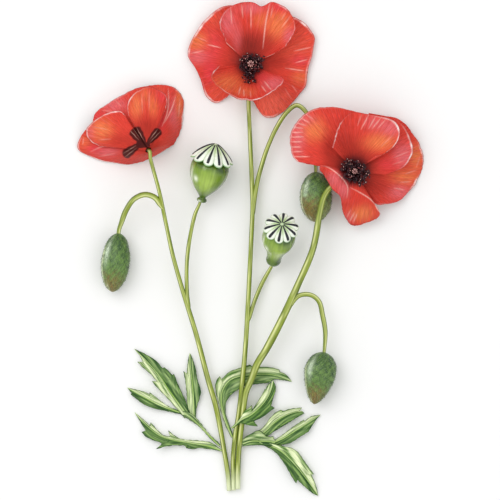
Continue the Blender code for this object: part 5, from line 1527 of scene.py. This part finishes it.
GRAIN = (0.34, 0.20)  # the same of a clump of pollen
GRAIN_LIFT = 0.40  # how far it sits from the anther's middle
SPECKS = 0.20  # share of the anthers that carry pollen
FILAMENT_TINT = colour(58, 16, 24)
ANTHER_TINTS = np.array([colour(38, 12, 20), colour(58, 18, 26), colour(112, 48, 50)])
POLLEN = colour(236, 176, 164)
stamen_finish = painted("stamen_dark", 0.5, (1.0, 1.0), 0.1, 0.0, specular=0.35)


def beads(middle, long_, across, length, width, sides, rows):
    """Closed spindles on many middles: half width times the sine of the share along each."""
    along = np.linspace(0.06, 0.94, rows) * math.pi
    turn = np.linspace(0.0, 2 * math.pi, sides, endpoint=False)
    third = np.cross(long_, across)
    ring = np.cos(turn)[:, None] * across[:, None] + np.sin(turn)[:, None] * third[:, None]
    shift = -np.cos(along)[:, None] * long_[:, None] * length
    reach = np.sin(along)[None, :, None, None] * ring[:, None] * width
    return middle[:, None, None] + shift[:, :, None] + reach


for number, (flower, groups) in enumerate(STAMENS.items()):
    draw = np.random.default_rng(400 + number)
    seat = np.array(SEATS[flower][0])
    side, over, look = basis(np.array(LOOKS[flower]) + (0.0, 1e-6, 0.0))
    bearing, reach, height = [], [], []
    for count, middle, spread, reaches, heights in groups:
        bearing.append(np.radians(middle + draw.uniform(-spread, spread, count)))
        reach.append(draw.uniform(*reaches, count))
        height.append(draw.uniform(*heights, count))
    bearing, reach, height = (np.concatenate(v)[:, None] for v in (bearing, reach, height))
    out = np.concatenate([np.cos(bearing), np.sin(bearing), 0.0 * bearing], axis=1)
    out = unit(out - (out @ look)[:, None] * look)
    foot = seat + out * FILAMENT_FOOT[0] + look * FILAMENT_FOOT[1]
    end = seat + out * reach + look * height
    bend = seat + out * (0.75 * reach) + look * (0.35 * height)
    t = np.linspace(0.0, 1.0, 6)[None, :, None]
    line = (1 - t) ** 2 * foot[:, None] + 2 * (1 - t) * t * bend[:, None] + t**2 * end[:, None]
    round_ = np.cross(look, out)
    turn = np.radians((90.0, 210.0, 330.0))
    upright = np.cross(out, round_)
    ring = np.cos(turn)[:, None] * round_[:, None] + np.sin(turn)[:, None] * upright[:, None]
    threads = line[:, :, None] + FILAMENT_RADIUS * ring[:, None]
    outward = draw.uniform(-1.0, 1.0, (len(end), 1)) * out
    onward = draw.uniform(-0.3, 0.5, (len(end), 1)) * look
    lie = unit(round_ + outward + onward)
    square = unit(np.cross(lie, look))
    anthers = beads(end, lie, square, *ANTHER, 7, 6)
    shade = ANTHER_TINTS[draw.choice(3, len(end), p=(0.55, 0.33, 0.12))][:, None, None]
    dusted = draw.uniform(0.0, 1.0, len(end)) < SPECKS
    # Pollen sits on the side of an anther that looks away from the receptacle.
    clump = (end + look * GRAIN_LIFT)[dusted]
    grains = beads(clump, lie[dusted], square[dusted], *GRAIN, 6, 5)
    parts = [
        grid_part(threads[:, :, ::-1], FILAMENT_TINT, (1.0, 5.0), wrap=True),
        grid_part(anthers, shade, (2.0, 2.0), wrap=True),
        grid_part(grains, POLLEN, (1.0, 1.0), wrap=True),
    ]
    piece = add_mesh(flower + "_anthers", parts, stamen_finish)
    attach(piece, "root")
    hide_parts(flower + "_stamens")

# ------------------------------------------------------------------------------------------
# Table, light and camera
# The spray lies on a plain white table under even studio light: a bright white room, a large
# soft lamp over its upper left and a weak one opposite. The camera looks straight down.

TABLE_HALF = 8.0
TABLE_HEIGHT = -0.0002  # just under the lowest piece, in metres
ROOM_LIGHT = 0.79
CAMERA_LENS = 500.0
SENSOR = 36.0
FRAME_WIDTH = 0.300  # width of the table that the frame takes in, in metres
CAMERA_AIM = (-0.0006, -0.0003, 0.014)

table_top = bpy.data.meshes.new("table_top")
corners = [(x * TABLE_HALF, y * TABLE_HALF, TABLE_HEIGHT) for x, y in ((-1, -1), (1, -1), (1, 1), (-1, 1))]
table_top.from_pydata(corners, [], [(0, 1, 2, 3)])
table_finish = bpy.data.materials.new("table_white")
table_finish.use_nodes = True
table_shader = table_finish.node_tree.nodes["Principled BSDF"]
table_shader.inputs["Base Color"].default_value = (0.93, 0.93, 0.925, 1.0)
table_shader.inputs["Roughness"].default_value = 0.9
table_shader.inputs["Specular IOR Level"].default_value = 0.1
table_top.materials.append(table_finish)
table = bpy.data.objects.new("table", table_top)
bpy.context.scene.collection.objects.link(table)

room = bpy.data.worlds.new("room")
room.use_nodes = True
room.node_tree.nodes["Background"].inputs["Color"].default_value = (1.0, 1.0, 1.0, 1.0)
room.node_tree.nodes["Background"].inputs["Strength"].default_value = ROOM_LIGHT
bpy.context.scene.world = room

LAMPS = {  # place, watts, side of the square lamp
    "key": ((-0.55, 0.45, 1.25), 7.5, 1.1),
    "fill": ((0.7, -0.45, 1.3), 2.2, 1.1),
}
for name, (place, power, width) in LAMPS.items():
    light = bpy.data.lights.new(name, "AREA")
    light.energy = power
    light.size = width
    lamp = bpy.data.objects.new(name, light)
    lamp.location = place
    away = np.array(place) - np.array(CAMERA_AIM)
    lamp.rotation_euler = (math.acos(away[2] / np.linalg.norm(away)), 0.0, math.atan2(away[0], -away[1]))
    bpy.context.scene.collection.objects.link(lamp)

lens = bpy.data.cameras.new("camera")
lens.lens = CAMERA_LENS
lens.sensor_width = SENSOR
camera = bpy.data.objects.new("camera", lens)
rise = FRAME_WIDTH * CAMERA_LENS / SENSOR
camera.location = (CAMERA_AIM[0], CAMERA_AIM[1], CAMERA_AIM[2] + rise)
lens.clip_start = 0.1
lens.clip_end = 50.0
bpy.context.scene.collection.objects.link(camera)
bpy.context.scene.camera = camera
bpy.context.scene.view_settings.view_transform = "Standard"
